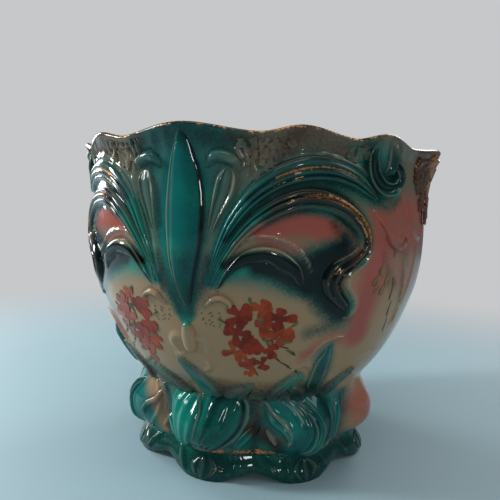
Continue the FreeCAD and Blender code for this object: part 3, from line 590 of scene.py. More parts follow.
# %% Grids to meshes
def grid_faces(rows, columns, flip=False):
    """Quads of a grid, wrapped around in its columns."""
    i, j = np.meshgrid(np.arange(rows - 1), np.arange(columns), indexing="ij")
    k = (j + 1) % columns
    quads = np.stack([i * columns + j, i * columns + k, (i + 1) * columns + k, (i + 1) * columns + j], -1)
    quads = quads.reshape(-1, 4)
    return (quads[:, ::-1] if flip else quads).tolist()


def add_masks(mesh, spray_and_shade, finish_and_highlight):
    """Store the two colour attributes on a mesh, in place of any it had."""
    for layer, values in ((SPRAY_AND_SHADE_LAYER, spray_and_shade), (FINISH_AND_HIGHLIGHT_LAYER, finish_and_highlight)):
        if layer in mesh.attributes:
            mesh.attributes.remove(mesh.attributes[layer])
        attribute = mesh.color_attributes.new(layer, "FLOAT_COLOR", "POINT")
        attribute.data.foreach_set("color", values.astype(np.float32).ravel())


def new_mesh(name, points, faces, spray_and_shade, finish_and_highlight):
    """A smooth mesh object in metres with its paint masks."""
    mesh = bpy.data.meshes.new(name)
    mesh.from_pydata((points.reshape(-1, 3) * MM).tolist(), [], faces)
    mesh.shade_smooth()
    add_masks(mesh, spray_and_shade, finish_and_highlight)
    mesh.update()
    mesh.set_sharp_from_angle(angle=CREASE_ANGLE)
    return put_in_scene(name, mesh)


def closed_skin(name, rows, masks, columns):
    """A mesh from rings of points: a tube whose last ring meets its first."""
    points = np.concatenate(rows)
    last_row = (len(points) - 1) * columns
    faces = grid_faces(len(points), columns)
    closing = [(j, (j + 1) % columns) for j in range(columns)]
    faces += [(last_row + j, last_row + k, k, j) for j, k in closing]
    return new_mesh(name, points, faces, *(np.concatenate(layer) for layer in zip(*masks)))


def hand_over(piece, material, slot, *nodes):
    """Give a finished piece its material and its place in the frame."""
    piece.data.materials.clear()
    piece.data.materials.append(material)
    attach(piece, "root")
    if nodes:
        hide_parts(*nodes)
    made.append(piece.name)
    return piece


print("faces of a grid of 3 by 4 points:", len(grid_faces(3, 4)))

# %% [markdown]
# ## Shader groups
#
# One effect, one group. "Airbrushed layer" lays a sprayed colour over another: noise breaks up the
# edge of the mask into the fine droplets that an airbrush leaves. "Sponged gold" turns a mask into
# scattered flakes. "Glaze surface" gives the height of the clear glaze, which pulls into faint
# ripples and pits. The groups give only colours, masks and heights, and the shader stays outside.
# The first cell holds short helpers that make nodes and wire them.

# %% Helpers for nodes
FLOAT, COLOUR, GEOMETRY = "NodeSocketFloat", "NodeSocketColor", "NodeSocketGeometry"


def put(target, value):
    """Set a socket to a constant, or wire another socket to it."""
    if isinstance(value, bpy.types.NodeSocket):
        target.id_data.links.new(value, target)
    else:
        target.default_value = value


def node(tree, kind, inputs=None, **settings):
    """A new node with its settings, and its inputs by name or number."""
    new = tree.nodes.new(kind)
    for label, value in settings.items():
        setattr(new, label, value)
    for key, value in (inputs or {}).items():
        put(new.inputs[key], value)
    return new


def new_tree(name, kind, inputs, outputs):
    """A node group from rows of label, socket type and starting value."""
    tree = bpy.data.node_groups.new(name, kind)
    for way, rows in (("INPUT", inputs), ("OUTPUT", outputs)):
        for label, socket_type, *start in rows:
            socket = tree.interface.new_socket(label, in_out=way, socket_type=socket_type)
            if start:
                socket.default_value = start[0]
    return tree, tree.nodes.new("NodeGroupInput").outputs, tree.nodes.new("NodeGroupOutput").inputs


def maths(operation, first, second=0.0, clamp=False):
    tree = (first if isinstance(first, bpy.types.NodeSocket) else second).id_data
    sums = node(tree, "ShaderNodeMath", {0: first, 1: second}, operation=operation, use_clamp=clamp)
    return sums.outputs[0]


def plus(first, second, clamp=False):
    return maths("ADD", first, second, clamp)


def minus(first, second):
    return maths("SUBTRACT", first, second)


def times(first, second):
    return maths("MULTIPLY", first, second)


def noise(tree, scale, detail=3.0, roughness=0.6):
    place = node(tree, "ShaderNodeTexCoord").outputs["Object"]
    inputs = {"Vector": place, "Scale": scale, "Detail": detail, "Roughness": roughness}
    return node(tree, "ShaderNodeTexNoise", inputs).outputs["Fac"]


def remap(value, low, high, to_low=0.0, to_high=1.0, way="SMOOTHSTEP"):
    inputs = {"Value": value, "From Min": low, "From Max": high, "To Min": to_low, "To Max": to_high}
    return node(value.id_data, "ShaderNodeMapRange", inputs, interpolation_type=way).outputs["Result"]


def mix_colour(factor, under, over):
    mixed = node(factor.id_data, "ShaderNodeMix", {0: factor, 6: under, 7: over}, data_type="RGBA")
    return mixed.outputs[2]


print("node helpers are ready")

# %% Airbrushed layer
def airbrushed_layer():
    group, given, result = new_tree(
        "Airbrushed layer", "ShaderNodeTree",
        [("Under", COLOUR, (0.5, 0.5, 0.5, 1)), ("Spray", COLOUR, (0, 0.1, 0.1, 1)),
         ("Mask", FLOAT, 0.0), ("Grain Scale", FLOAT, 900.0), ("Grain", FLOAT, 0.3)],
        [("Colour", COLOUR)])
    droplets, cloud = noise(group, given["Grain Scale"], 2.0), noise(group, 60.0)
    wobble = plus(minus(droplets, 0.5), times(minus(cloud, 0.5), 0.6))
    edge = times(given["Mask"], minus(1.0, given["Mask"]))
    shift = times(times(wobble, edge), times(given["Grain"], 12.0))
    grainy = plus(given["Mask"], shift, clamp=True)
    put(result["Colour"], mix_colour(grainy, given["Under"], given["Spray"]))
    return group


AIRBRUSH = airbrushed_layer()
print("shader group:", AIRBRUSH.name)

# %% Sponged gold and the glaze's surface
def sponged_gold():
    group, given, result = new_tree("Sponged gold", "ShaderNodeTree",
                                    [("Mask", FLOAT, 0.0), ("Flake Scale", FLOAT, 700.0)],
                                    [("Flakes", FLOAT)])
    fine, dabs = noise(group, given["Flake Scale"], 2.0, 0.7), noise(group, 170.0, 2.0)
    texture = plus(times(fine, 0.62), times(dabs, 0.38))
    threshold = remap(given["Mask"], 0.0, 1.0, 0.72, 0.36, "LINEAR")
    put(result["Flakes"], remap(texture, threshold, plus(threshold, 0.05)))
    return group


def glaze_surface():
    group, given, result = new_tree("Glaze surface", "ShaderNodeTree",
                                    [("Ripple", FLOAT, 1.0), ("Pits", FLOAT, 0.3)],
                                    [("Height", FLOAT), ("Pit", FLOAT)])
    height = times(noise(group, 45.0, 2.0, 0.5), given["Ripple"])
    height = plus(height, times(noise(group, 240.0, 2.0, 0.5), 0.035))
    place = node(group, "ShaderNodeTexCoord").outputs["Object"]
    cells = node(group, "ShaderNodeTexVoronoi", {"Vector": place, "Scale": 420.0})
    pits = times(remap(cells.outputs["Distance"], 0.10, 0.04), given["Pits"])
    put(result["Height"], minus(height, times(pits, 0.3)))
    put(result["Pit"], pits)
    return group


GOLD_SPONGE, GLAZE_SKIN = sponged_gold(), glaze_surface()
print("shader groups:", GOLD_SPONGE.name, "and", GLAZE_SKIN.name)

# %% [markdown]
# ## The glazed material
#
# One recipe serves every clay piece, with a few values of its own: pale body, then pink, teal,
# brown and deep teal sprayed over it, the deep teal also laying painted shade, then pale edges of
# thin glaze and painted highlight, small stained pits, and gold. The clear glaze is a smooth coat
# over a slightly rougher body, with faint ripples, which gives the broken white streaks.

# %% Build the glaze
BODY_LOW = (0.318, 0.205, 0.110, 1)
BODY_HIGH = (0.125, 0.115, 0.078, 1)
TEAL = (0.003, 0.185, 0.135, 1)
TEAL_BLUE = (0.003, 0.120, 0.112, 1)
DEEP_TEAL = (0.0005, 0.0055, 0.0065, 1)
DUSTY_PINK = (0.31, 0.078, 0.060, 1)
STAIN_BROWN = (0.068, 0.027, 0.014, 1)
# Pale edges and ridges: glaze run thin over the pale body, with a painted highlight.
PALE_GLAZE_AND_HIGHLIGHT = (0.30, 0.275, 0.195, 1)
GOLD = (0.50, 0.215, 0.065, 1)


COAT = {"Coat Weight": 1.0, "Coat Roughness": 0.03, "Coat IOR": 1.34, "Specular IOR Level": 0.03}
RIPPLES = {"Strength": 0.5, "Distance": 0.0009}
PITS, BODY_ROUGHNESS, GILT_ROUGHNESS = 0.25, 0.3, 0.38


def new_material(name):
    """A new material, its tree and its shader."""
    material = bpy.data.materials.new(name)
    material.use_nodes = True
    return material, material.node_tree, material.node_tree.nodes["Principled BSDF"]


def clear_glaze(shader, height):
    """Lay the smooth coat with its ripples over a shader."""
    for label, value in COAT.items():
        put(shader.inputs[label], value)
    bump = node(shader.id_data, "ShaderNodeBump", {"Height": height, **RIPPLES})
    for label in ("Normal", "Coat Normal"):
        put(shader.inputs[label], bump.outputs["Normal"])


def glaze_material(name, ripple, grain=0.3):
    material, tree, shader = new_material(name)
    masks = []
    for layer in (SPRAY_AND_SHADE_LAYER, FINISH_AND_HIGHLIGHT_LAYER):
        kept = node(tree, "ShaderNodeAttribute", attribute_name=layer).outputs
        masks += node(tree, "ShaderNodeSeparateColor", {"Color": kept["Color"]}).outputs[:]
        masks.append(kept["Alpha"])
    teal, pink, deep, brown, gold, thin, tone, lip = masks

    tealish = mix_colour(remap(noise(tree, 22.0), 0.40, 0.62), TEAL, TEAL_BLUE)
    colour = mix_colour(tone, BODY_LOW, BODY_HIGH)
    # The deep teal layer also lays the painted shade of hollows, creases and outlines.
    for amount, spray_and_shade, scale, share in (
            (pink, DUSTY_PINK, 1100.0, 1.0), (teal, tealish, 900.0, 1.0),
            (brown, STAIN_BROWN, 650.0, 1.5), (deep, DEEP_TEAL, 900.0, 1.0)):
        inputs = {"Under": colour, "Spray": spray_and_shade, "Mask": amount,
                  "Grain Scale": scale, "Grain": grain * share}
        colour = node(tree, "ShaderNodeGroup", inputs, node_tree=AIRBRUSH).outputs["Colour"]
    skin = node(tree, "ShaderNodeGroup", {"Ripple": ripple, "Pits": PITS}, node_tree=GLAZE_SKIN).outputs
    gilt = maths("MAXIMUM", gold, lip)
    flakes = node(tree, "ShaderNodeGroup", {"Mask": gilt}, node_tree=GOLD_SPONGE).outputs["Flakes"]
    # Pale edges of thin glaze and painted highlight, then brown in the pits, then gold.
    for amount, over in ((times(thin, 0.8), PALE_GLAZE_AND_HIGHLIGHT), (times(skin["Pit"], 0.5), STAIN_BROWN),
                         (flakes, GOLD)):
        colour = mix_colour(amount, colour, over)

    put(shader.inputs["Base Color"], colour)
    put(shader.inputs["Metallic"], times(flakes, 0.75))
    put(shader.inputs["Roughness"], remap(flakes, 0.0, 1.0, BODY_ROUGHNESS, GILT_ROUGHNESS))
    clear_glaze(shader, plus(skin["Height"], times(flakes, 0.10)))
    return material


CREAM_GLAZE = glaze_material("cream_glaze", 0.8)
TEAL_GLAZE = glaze_material("teal_glaze", 1.3, grain=0.25)
GILT_GLAZE = glaze_material("gilt_brown_glaze", 0.8, grain=0.5)
PINK_GLAZE = glaze_material("pink_glaze", 0.8)
print("glazes:", [m.name for m in bpy.data.materials if m.name.endswith("glaze")])

# %% [markdown]
# ## The bowl
#
# The bowl is one closed skin: up the outside, over the rounded lip, down the inside, across the
# floor, and back under the foot. Rows lie closer under the lip. Dark slip pools beside every leaf
# that is laid on, and painted shade lies there too, so the wall gets a thin dark line along each
# outline.

# %% Build the bowl
BOWL_COLUMNS = 560
COLUMN_ANGLES = np.arange(BOWL_COLUMNS) * 360.0 / BOWL_COLUMNS
FLOOR_CURVE, INSIDE_TONE, LIP_FLATTENED, LIP_GILT = 87, 0.35, 0.35, 0.6
OUTLINED = [(LANCE_LEAF, 0.35), (UPPER_PLUME, 0.8), (LOWER_PLUME, 0.8), (DROOPING_LEAF, 0.7), (BUD, 0.5),
            (HOOD, 0.8), (ROOT_CURL, 0.5), (RIM_SCROLL, 0.7), (CLASP_LEAF, 0.8), (RIM_LEAF, 0.8)]
OUTLINED += [(leaf, 0.9) for leaf in WAIST_LEAVES]
KEEPS_SIDE = [FRONT_LEAF, FRONT_LEAF_BEHIND] + WAIST_LEAVES
POOL_AND_SHADE_WIDTH = 1.5


def pooled_glaze_and_shade(angle, height, outlined, where="bowl"):
    """Thin dark lines along the outlines of ornament: pooled glaze and painted shade."""
    pool = np.zeros(np.broadcast(angle, height).shape)
    for stations, amount in outlined:
        chart = half_turn if stations in KEEPS_SIDE else fold
        reach = stroke_reach(angle, height, stations, where, chart, spread=2.2)
        half = max(station[2] for station in stations)
        pool = np.maximum(pool, amount * np.exp(-(((reach - 1.0) * half / POOL_AND_SHADE_WIDTH) ** 2)))
    return pool


def lip_rings(edge, out_dir):
    """Rings over the rounded lip, from its outer edge to its inner one, with their masks."""
    for turn in (20, 45, 70, 90, 110, 135, 160, 180):
        inward = LIP_THICKNESS / 2 * (1 - math.cos(math.radians(turn)))
        up = (LIP_THICKNESS / 2 - LIP_FLATTENED) * math.sin(math.radians(turn))
        gilt = 1.0 if turn < 140 else 0.45
        yield ((edge - out_dir * inward + np.array([0, 0, up]))[None],
               paint_and_light_masks(COLUMN_ANGLES, np.full(BOWL_COLUMNS, 207.0), lip=gilt * LIP_GILT,
                            brown_extra=0.7, dark_glaze_and_shade=0.3))


def build_bowl():
    outer = np.concatenate([np.linspace(53, 189, 110), np.linspace(190, 208, 24)])
    a, h = np.meshgrid(COLUMN_ANGLES, outer)
    carved = wall_relief(a, h) * ease((h - 52.6) / 1.5) * ease((208.5 - h) / 2)
    edge = wall(COLUMN_ANGLES, np.full(BOWL_COLUMNS, TOTAL_HEIGHT))
    lay = wall(a, h) + wall_normal(a, np.clip(h, 53.5, 207.5)) * carved[..., None]
    lay[-1] = edge
    # Pale tops of the carved ridges: thin glaze and a painted highlight.
    thin = 0.55 * ease((carved - 0.95) / 0.6) * ease((h - 76) / 6)
    lip_line = 0.5 * ease((h - 206.9) / 0.8)
    # Painted shade along each outline, with pooled glaze.
    dark = 0.6 * pooled_glaze_and_shade(a, h, OUTLINED)
    rows, masks = [lay], [paint_and_light_masks(a, h, thin=thin, lip=lip_line, dark_glaze_and_shade=dark)]
    around = np.radians(COLUMN_ANGLES)
    out_dir = np.stack([np.sin(around), -np.cos(around), np.zeros(BOWL_COLUMNS)], -1)
    for ring, ring_masks in lip_rings(edge, out_dir):
        rows.append(ring)
        masks.append(ring_masks)
    inner = np.concatenate([np.linspace(206, 187, 10), np.linspace(181, FLOOR_CURVE, 16)])
    a, h = np.meshgrid(COLUMN_ANGLES, inner)
    share = (h - STAND_TOP) / BOWL_HEIGHT
    inset = LIP_THICKNESS + (WALL - LIP_THICKNESS) * ease((1 - share) / (1 - FLARE_START))
    rows.append(wall(a, h, -inset))
    masks.append(plain_masks(a.size, INSIDE_TONE))
    last = np.linalg.norm(rows[-1][-1, 0, :2])
    profile = []
    for turn in np.radians([20, 40, 60, 75, 90]):
        profile.append((FLOOR_RADIUS + (last - FLOOR_RADIUS) * math.cos(turn),
                        FLOOR_HEIGHT + (FLOOR_CURVE - FLOOR_HEIGHT) * (1 - math.sin(turn))))
    profile += [(FLOOR_RADIUS * share, FLOOR_HEIGHT) for share in (0.66, 0.33, 0.01)]
    profile += [(radius, STAND_TOP) for radius in (0.8, 30, 60, WAIST - 1)]
    for radius, z in profile:
        rows.append((out_dir * radius + np.array([0, 0, z]))[None])
        masks.append(plain_masks(BOWL_COLUMNS, INSIDE_TONE))
    return closed_skin("jardiniere_bowl", rows, masks, BOWL_COLUMNS)


bowl = hand_over(build_bowl(), CREAM_GLAZE, "cream_glaze", "bowl")
print("bowl faces:", len(bowl.data.polygons))

# %% [markdown]
# ## The stand
#
# The stand is a hollow drum, so its skin runs up the lobed outside, over its top, and down the
# plainer inside. Veins, scrolls and the ribs of the feet are carved in as strokes, and the creases
# between the lobes are dark with pooled glaze and painted shade.

# %% Build the stand
STAND_COLUMNS, BELOW_TOP = 600, 52.99
STAND_OUTLINED = [(FRONT_LEAF, 0.8), (FRONT_LEAF_BEHIND, 0.7), (STAND_SCROLL, 0.8), (STAND_TENDRIL, 0.6),
                  (LEAFLET, 0.7), (SPIKE_LEAF, 0.7)]
STAND_RIDGES = [
    # stations of signed angle, height and half width; rise in mm; softness
    ([(21.5, 53, 0.9), (19.0, 44, 1.2), (16.5, 34, 1.2), (12.5, 24, 1.0)], 0.9, 1.4),
    ([(23.0, 51, 0.9), (25.5, 43, 1.3), (25.0, 33, 1.2), (20.5, 24, 0.9)], 0.9, 1.4),
    ([(26.0, 53, 0.9), (29.5, 45, 1.4), (33.5, 40, 1.8), (36.5, 33, 1.3), (36.0, 26, 0.8)], 1.6, 1.3),
    ([(27.5, 34, 1.2), (29.5, 30, 2.2), (31.0, 26, 1.0)], 1.7, 1.3),
    ([(33.0, 53, 0.8), (38.5, 45, 1.2), (41.0, 35, 1.2), (38.5, 24, 0.9)], 0.9, 1.4),
    ([(37.5, 53, 0.8), (43.0, 45, 1.2), (45.0, 34, 1.2), (42.0, 22, 0.9)], 1.1, 1.4),
    ([(42.5, 53, 0.8), (47.5, 45, 1.2), (49.5, 34, 1.2), (46.5, 21, 0.9)], 1.2, 1.4),
    ([(53.0, 52, 0.8), (55.5, 42, 1.1), (55.5, 32, 1.1), (52.5, 22, 0.8)], 1.0, 1.4),
    ([(57.5, 50, 0.7), (59.5, 42, 1.0), (59.5, 33, 0.9), (57.0, 24, 0.7)], 1.0, 1.4),
    ([(66.0, 50, 0.8), (68.0, 39, 1.1), (67.5, 28, 0.9), (64.5, 19, 0.7)], 1.0, 1.4),
    ([(-4, 19.6, 1.2), (6, 19.0, 1.7), (16, 17.4, 1.7), (28, 17.0, 1.5), (38, 16.4, 1.1)], 0.9, 1.2),
    ([(48, 15.6, 0.9), (56, 20.0, 1.3), (63, 26, 1.1)], 1.2, 1.2),
    ([(-26.0, 53, 1.2), (-21.0, 43, 1.6), (-22.0, 32, 1.5), (-26.0, 23, 1.0)], 1.0, 1.4),
    ([(-31.0, 53, 1.0), (-27.5, 42, 1.3), (-29.0, 31, 1.2), (-33.0, 22, 0.8)], 1.0, 1.4),
    ([(-38.0, 52, 1.0), (-42.0, 44, 1.4), (-44.0, 33, 1.3), (-40.0, 22, 0.9)], 1.1, 1.4),
    ([(-55.0, 52, 0.8), (-57.0, 42, 1.1), (-56.0, 31, 1.1), (-53.0, 21, 0.8)], 1.0, 1.4),
    ([(-64.0, 50, 0.8), (-66.0, 39, 1.1), (-65.0, 28, 0.9), (-62.0, 19, 0.7)], 1.0, 1.4),
    ([(-38, 16.4, 1.0), (-28, 17.4, 1.4), (-16, 18.4, 1.4), (-6, 19.4, 1.0)], 0.8, 1.2),
    ([(-14, 15, 1.4), (-12, 10, 2.2), (-9, 4, 1.6)], 1.6, 1.6),
    ([(12, 16, 1.4), (13.5, 10, 2.4), (12, 4, 1.6)], 1.8, 1.6),
    ([(24, 16, 1.4), (27, 11, 2.6), (31, 5, 1.8)], 1.8, 1.6),
    ([(38, 15, 1.2), (37, 10, 2.0), (38, 4, 1.4)], 1.5, 1.6),
    ([(52, 15, 1.2), (54, 10, 2.2), (57, 4, 1.4)], 1.6, 1.6),
    ([(-30, 15, 1.2), (-33, 10, 2.2), (-36, 4, 1.4)], 1.6, 1.6),
    ([(66, 15, 1.2), (70, 10, 2.2), (74, 4, 1.4)], 1.4, 1.6),
    ([(-54, 15, 1.2), (-57, 10, 2.2), (-60, 4, 1.4)], 1.4, 1.6),
]


def build_stand():
    angle = np.arange(STAND_COLUMNS) * 360.0 / STAND_COLUMNS
    a, h = np.meshgrid(angle, np.linspace(0, 53, 62))
    carved = ridges(a, h, STAND_RIDGES, "stand", half_turn) * ease(h / 4) * ease((53.2 - h) / 1.2)
    lay = wall(a, np.minimum(h, BELOW_TOP)) + wall_normal(a, np.clip(h, 0.6, 52.0)) * carved[..., None]
    lay[..., 2] = np.clip(lay[..., 2], 0, STAND_TOP)
    # Pale tops of the carved ridges: thin glaze and a painted highlight.
    thin = 0.5 * ease((carved - 1.0) / 0.5) * ease((h - 17) / 4)
    # Painted shade in the creases between the lobes and along the leaves' outlines, with pooled glaze.
    crease_glaze_and_shade = 0.75 * (1 - lobe(a)) ** 5 * ease((h - 12) / 6)
    dark = 1 - (1 - crease_glaze_and_shade) * (1 - 0.7 * pooled_glaze_and_shade(a, h, STAND_OUTLINED, "stand"))
    rows, masks = [lay], [paint_and_light_masks(a, h, thin=thin, dark_glaze_and_shade=dark)]
    a, share = np.meshgrid(angle, np.linspace(1, 0, 14))
    radius = GROOVE + (WAIST - GROOVE) * share - WALL
    radius = radius + 0.6 * through(SWELL_SHAPE, share) * LOBE_SWELL * lobe(a)
    turn, outer = np.radians(a), wall(a, np.minimum(share * STAND_TOP, BELOW_TOP))
    rows.append(np.stack([radius * np.sin(turn), -radius * np.cos(turn), outer[..., 2]], -1))
    masks.append(plain_masks(a.size, 0.2))
    return closed_skin("lobed_stand", rows, masks, STAND_COLUMNS)


stand = hand_over(build_stand(), TEAL_GLAZE, "teal_glaze", "stand")
print("stand faces:", len(stand.data.polygons))

# %% [markdown]
# ## Leaves, plumes and scrolls
#
# A laid-on ornament is a strip that follows its stations. Across it runs a crest: a folded leaf, a
# ribbed plume, a hollow channel or a plain dome. The strip's edges dip a little under the wall's
# surface, so the two look like one casting, and its back is closed inside the wall. Each crest also
# says where it is pale, from thin glaze and painted highlight, and where it is dark, from pooled
# glaze and painted shade, which is what makes relief read.

# %% Crests of leaves
def leaf_crest(u, s):
    # Pale edges and midrib: thin glaze and a painted highlight. A darker band runs along each slope.
    height = 0.45 * np.sqrt(1 - u**2) + 0.55 * (1 - np.abs(u)) ** 0.8
    thin = 0.65 * ease((np.abs(u) - 0.80) / 0.1) + 0.15 * np.exp(-((u / 0.06) ** 2))
    dark = 0.35 * np.exp(-(((np.abs(u) - 0.6) / 0.2) ** 2))
    return height, thin, dark


def lance_crest(u, s):
    """The tall front leaf: folded left of its middle, with a pale rolled left edge, partly a painted highlight.
    """
    fold_line = np.where(u > 0.5, (1 - u) / 0.5, (1 + u) / 1.5)
    height = 0.5 * np.sqrt(1 - u**2) + 0.5 * np.clip(fold_line, 0, 1) ** 0.9
    rolled = np.exp(-(((u - 0.80) / 0.07) ** 2))
    height = height + 0.10 * rolled - 0.10 * np.exp(-(((u - 0.68) / 0.06) ** 2))
    # Pale rolled left edge and fold line: thin glaze and a painted highlight. Painted shade: a dark line along
    # the right edge, the groove inside the rolled edge, and the right half. The leaf also darkens towards its
    # foot.
    thin = 0.8 * np.exp(-(((u - 0.82) / 0.075) ** 2)) + 0.14 * np.exp(-(((u - 0.46) / 0.05) ** 2))
    dark = 0.85 * np.exp(-(((u + 0.84) / 0.10) ** 2)) + 0.45 * np.exp(-(((u - 0.66) / 0.06) ** 2))
    dark = dark + 0.32 * ease((0.3 - u) / 0.9) + 0.25 * ease((0.25 - s) / 0.25)
    return height, thin, np.clip(dark, 0, 1)


def drooping_crest(u, s):
    frill = 0.12 * np.cos(np.pi * 7 * s)
    height = np.sqrt(1 - u**2) * (0.8 + 0.2 * u) - 0.25 * ease((-0.35 + frill - u) / 0.3)
    # A pale upper edge: painted highlight, with thin glaze; a pale line along the wavy lower fold. Below its
    # upper edge the leaf darkens.
    thin = 0.6 * np.exp(-(((u - 0.84) / 0.06) ** 2)) + 0.25 * np.exp(-(((u + 0.5 - frill) / 0.06) ** 2))
    dark = 0.95 * ease((0.75 - u) / 0.5)
    return height, thin, dark


print("crest of a leaf over its midrib:", float(leaf_crest(np.zeros(1), 0)[0][0]), "of its relief")

# %% Crests of plumes, scrolls and buds
def ribbed_crest(places, thin_amount=0.1, dark_amount=0.85, gold_lines=(), dark_from=2.0):
    """Ribs of unequal width: places are the rib tops; beyond dark_from the strip is dark inside."""
    places = np.array(places)
    gaps = np.concatenate([[-1.0], (places[1:] + places[:-1]) / 2, [1.0]])

    def crest(u, s):
        k = np.clip(np.searchsorted(gaps, u) - 1, 0, len(places) - 1)
        reach = np.where(u > places[k], (u - places[k]) / (gaps[k + 1] - places[k]),
                         (places[k] - u) / (places[k] - gaps[k]))
        wave = np.sqrt(np.clip(1 - reach**2, 0, 1))
        height = np.sqrt(1 - (0.985 * u) ** 2) * (0.5 + 0.5 * wave)
        # Pale rib tops and one pale edge: thin glaze and a painted highlight. Dark between the ribs: pooled
        # glaze and painted shade; past dark_from, the scroll's own dark paint.
        thin = thin_amount * ease((wave - 0.9) / 0.1) + 0.6 * np.exp(-(((u - 0.93) / 0.05) ** 2))
        dark = dark_amount * (1 - wave) ** 0.8 * (np.abs(u) < 0.95)
        dark = np.maximum(dark, 0.92 * ease((s - dark_from) / 0.08) * ease((0.84 - np.abs(u)) / 0.12))
        gold = np.zeros(u.shape)
        for line, start, stop in gold_lines:
            part = ease((s - start) / 0.06) * ease((stop - s) / 0.06)
            gold = np.maximum(gold, 0.75 * np.exp(-(((u - line) / 0.06) ** 2)) * part)
        return height, thin, dark, gold
    return crest


def channel_crest(u, s):
    margin = np.exp(-(((np.abs(u) - 0.70) / 0.22) ** 2))
    height = np.sqrt(1 - u**4) * (0.25 + 0.75 * margin)
    # Pale margins: thin glaze and a painted highlight. A dark middle: pooled glaze and painted shade in the
    # hollow.
    return height, 0.4 * ease((margin - 0.85) / 0.15), 0.8 * np.exp(-((u / 0.36) ** 2))


def bud_crest(u, s):
    margin = np.exp(-(((np.abs(u) - 0.74) / 0.16) ** 2))
    height = np.sqrt(1 - u**4) * (0.55 + 0.45 * margin) + 0.15 * np.exp(-((u / 0.3) ** 2))
    # Pale outlines of thin glaze and painted highlight; dark inner channels of pooled glaze and painted shade.
    dark = 0.55 * np.exp(-(((np.abs(u) - 0.45) / 0.14) ** 2))
    return height, 0.85 * ease((margin - 0.7) / 0.3), dark


def dome_crest(u, s):
    # A pale spot on top: thin glaze and a painted highlight.
    return np.sqrt(1 - u**2), 0.12 * np.exp(-((u / 0.25) ** 2)), np.zeros(u.shape)


def near_fan_crest(u, s):
    """The bright front leaf of the stand, with soft veins, and painted shade on its right side."""
    height = (1 - u**2) ** 0.35 * (0.84 + 0.16 * np.cos(np.pi * 3.4 * (u + 0.4 * s)))
    # Pale edges and midrib: thin glaze and a painted highlight. Painted shade on the right side; the leaf also
    # darkens towards its foot.
    thin = 0.5 * ease((np.abs(u) - 0.90) / 0.07) + 0.10 * np.exp(-((u / 0.05) ** 2))
    dark = 0.25 * ease((-0.2 - u) / 0.5) + 0.35 * ease((0.2 - s) / 0.2)
    return height, thin, np.clip(dark, 0, 1)


def far_fan_crest(u, s):
    """The darker leaf behind it, rolled over at its free edge; its darkness is partly deep teal and partly
    painted shade.
    """
    height = 0.72 * (1 - u**2) ** 0.35 * (0.85 + 0.15 * np.cos(np.pi * 4 * (u + 0.3 * s)))
    height = height + 0.2 * np.exp(-(((u + 0.8) / 0.12) ** 2))
    # A painted highlight on the rolled edge, with thin glaze. Painted shade under the roll and where the front
    # leaf overlaps; the whole leaf is a little darker too.
    thin = 0.5 * np.exp(-(((u + 0.86) / 0.08) ** 2))
    dark = 0.5 * ease((u - 0.2) / 0.5) + 0.75 * np.exp(-(((u + 0.62) / 0.10) ** 2)) + 0.25
    return height, thin, np.clip(dark, 0, 1)


print("crest of a dome at its middle:", float(dome_crest(np.zeros(1), 0)[0][0]), "of its relief")

# %% Lay a strip on the wall
EDGE_DIP, BACK_DEPTH, TIP_SHARE = 0.4, 1.1, 0.22


def strip(stations, relief, crest, where="bowl", turn=0, mirror=False, steps=90, across=30, tips=(0.3, 0.3)):
    """Points, faces and masks of one ornament, a closed skin."""
    middle = along(stations, steps)
    radius = MAP_RADIUS[where]
    x, y, half = np.radians(middle[:, 0]) * radius, middle[:, 1], middle[:, 2].copy()
    dx, dy = np.gradient(x), np.gradient(y)
    length = np.hypot(dx, dy)
    nx, ny = -dy / length, dx / length
    s = np.linspace(0, 1, steps)
    travelled = np.concatenate([[0], np.cumsum(length)[:-1]])
    total = travelled[-1]
    ends = np.minimum(travelled, total - travelled)
    half *= np.sqrt(np.clip(1 - (1 - np.clip(ends / (1.2 * half + 1e-6), 0, 1)) ** 2, 0.004, 1))
    u = np.sin(np.linspace(-np.pi / 2, np.pi / 2, across))
    s_grid, u_grid = np.meshgrid(s, u, indexing="ij")
    px = x[:, None] + nx[:, None] * u_grid * half[:, None]
    py = y[:, None] + ny[:, None] * u_grid * half[:, None]
    angle = np.degrees(px / radius)
    height, thin, dark, *gilt = crest(u_grid, s_grid)
    gilt = gilt[0] if gilt else np.zeros(height.shape)
    taper = np.minimum(tips[0] + (1 - tips[0]) * ease(s_grid / TIP_SHARE),
                       tips[1] + (1 - tips[1]) * ease((1 - s_grid) / TIP_SHARE))
    taper = taper * np.sqrt(np.clip(ends[:, None] / (0.8 * relief), 0, 1))
    if where == "stand":
        taper = taper * (0.35 + 0.65 * ease((STAND_TOP + 1 - py) / 9))
    rise = -EDGE_DIP + (relief + EDGE_DIP) * height * taper
    sign = -1.0 if mirror else 1.0
    real = sign * angle + turn
    ceiling = STAND_TOP - 0.05 if where == "stand" else TOTAL_HEIGHT
    py = np.clip(py, 0.2 if where == "stand" else STAND_TOP + 0.3, ceiling)
    normal = wall_normal(real, np.clip(py, 0.6, 207.5))
    base = wall(real, py)
    front = base + normal * rise[..., None]
    back = base - normal * BACK_DEPTH
    ring = np.concatenate([front, back[:, ::-1][:, 1:-1]], axis=1)
    rings, columns = ring.shape[:2]
    faces = grid_faces(rings, columns, flip=not mirror)
    first, last = list(range(columns)), list(range((rings - 1) * columns, rings * columns))
    faces += [first[::-1], last] if mirror else [first, last[::-1]]
    spray_and_shade, finish_and_highlight = paint_and_light_masks(real, py, thin=thin, gold_extra=gilt, dark_glaze_and_shade=dark)

    def carried_round(layer):
        """Masks of the front, given to the points of the back too."""
        layer = layer.reshape(rings, across, 4)
        return np.concatenate([layer, layer[:, ::-1][:, 1:-1]], 1).reshape(-1, 4)

    return ring.reshape(-1, 3), faces, carried_round(spray_and_shade), carried_round(finish_and_highlight)


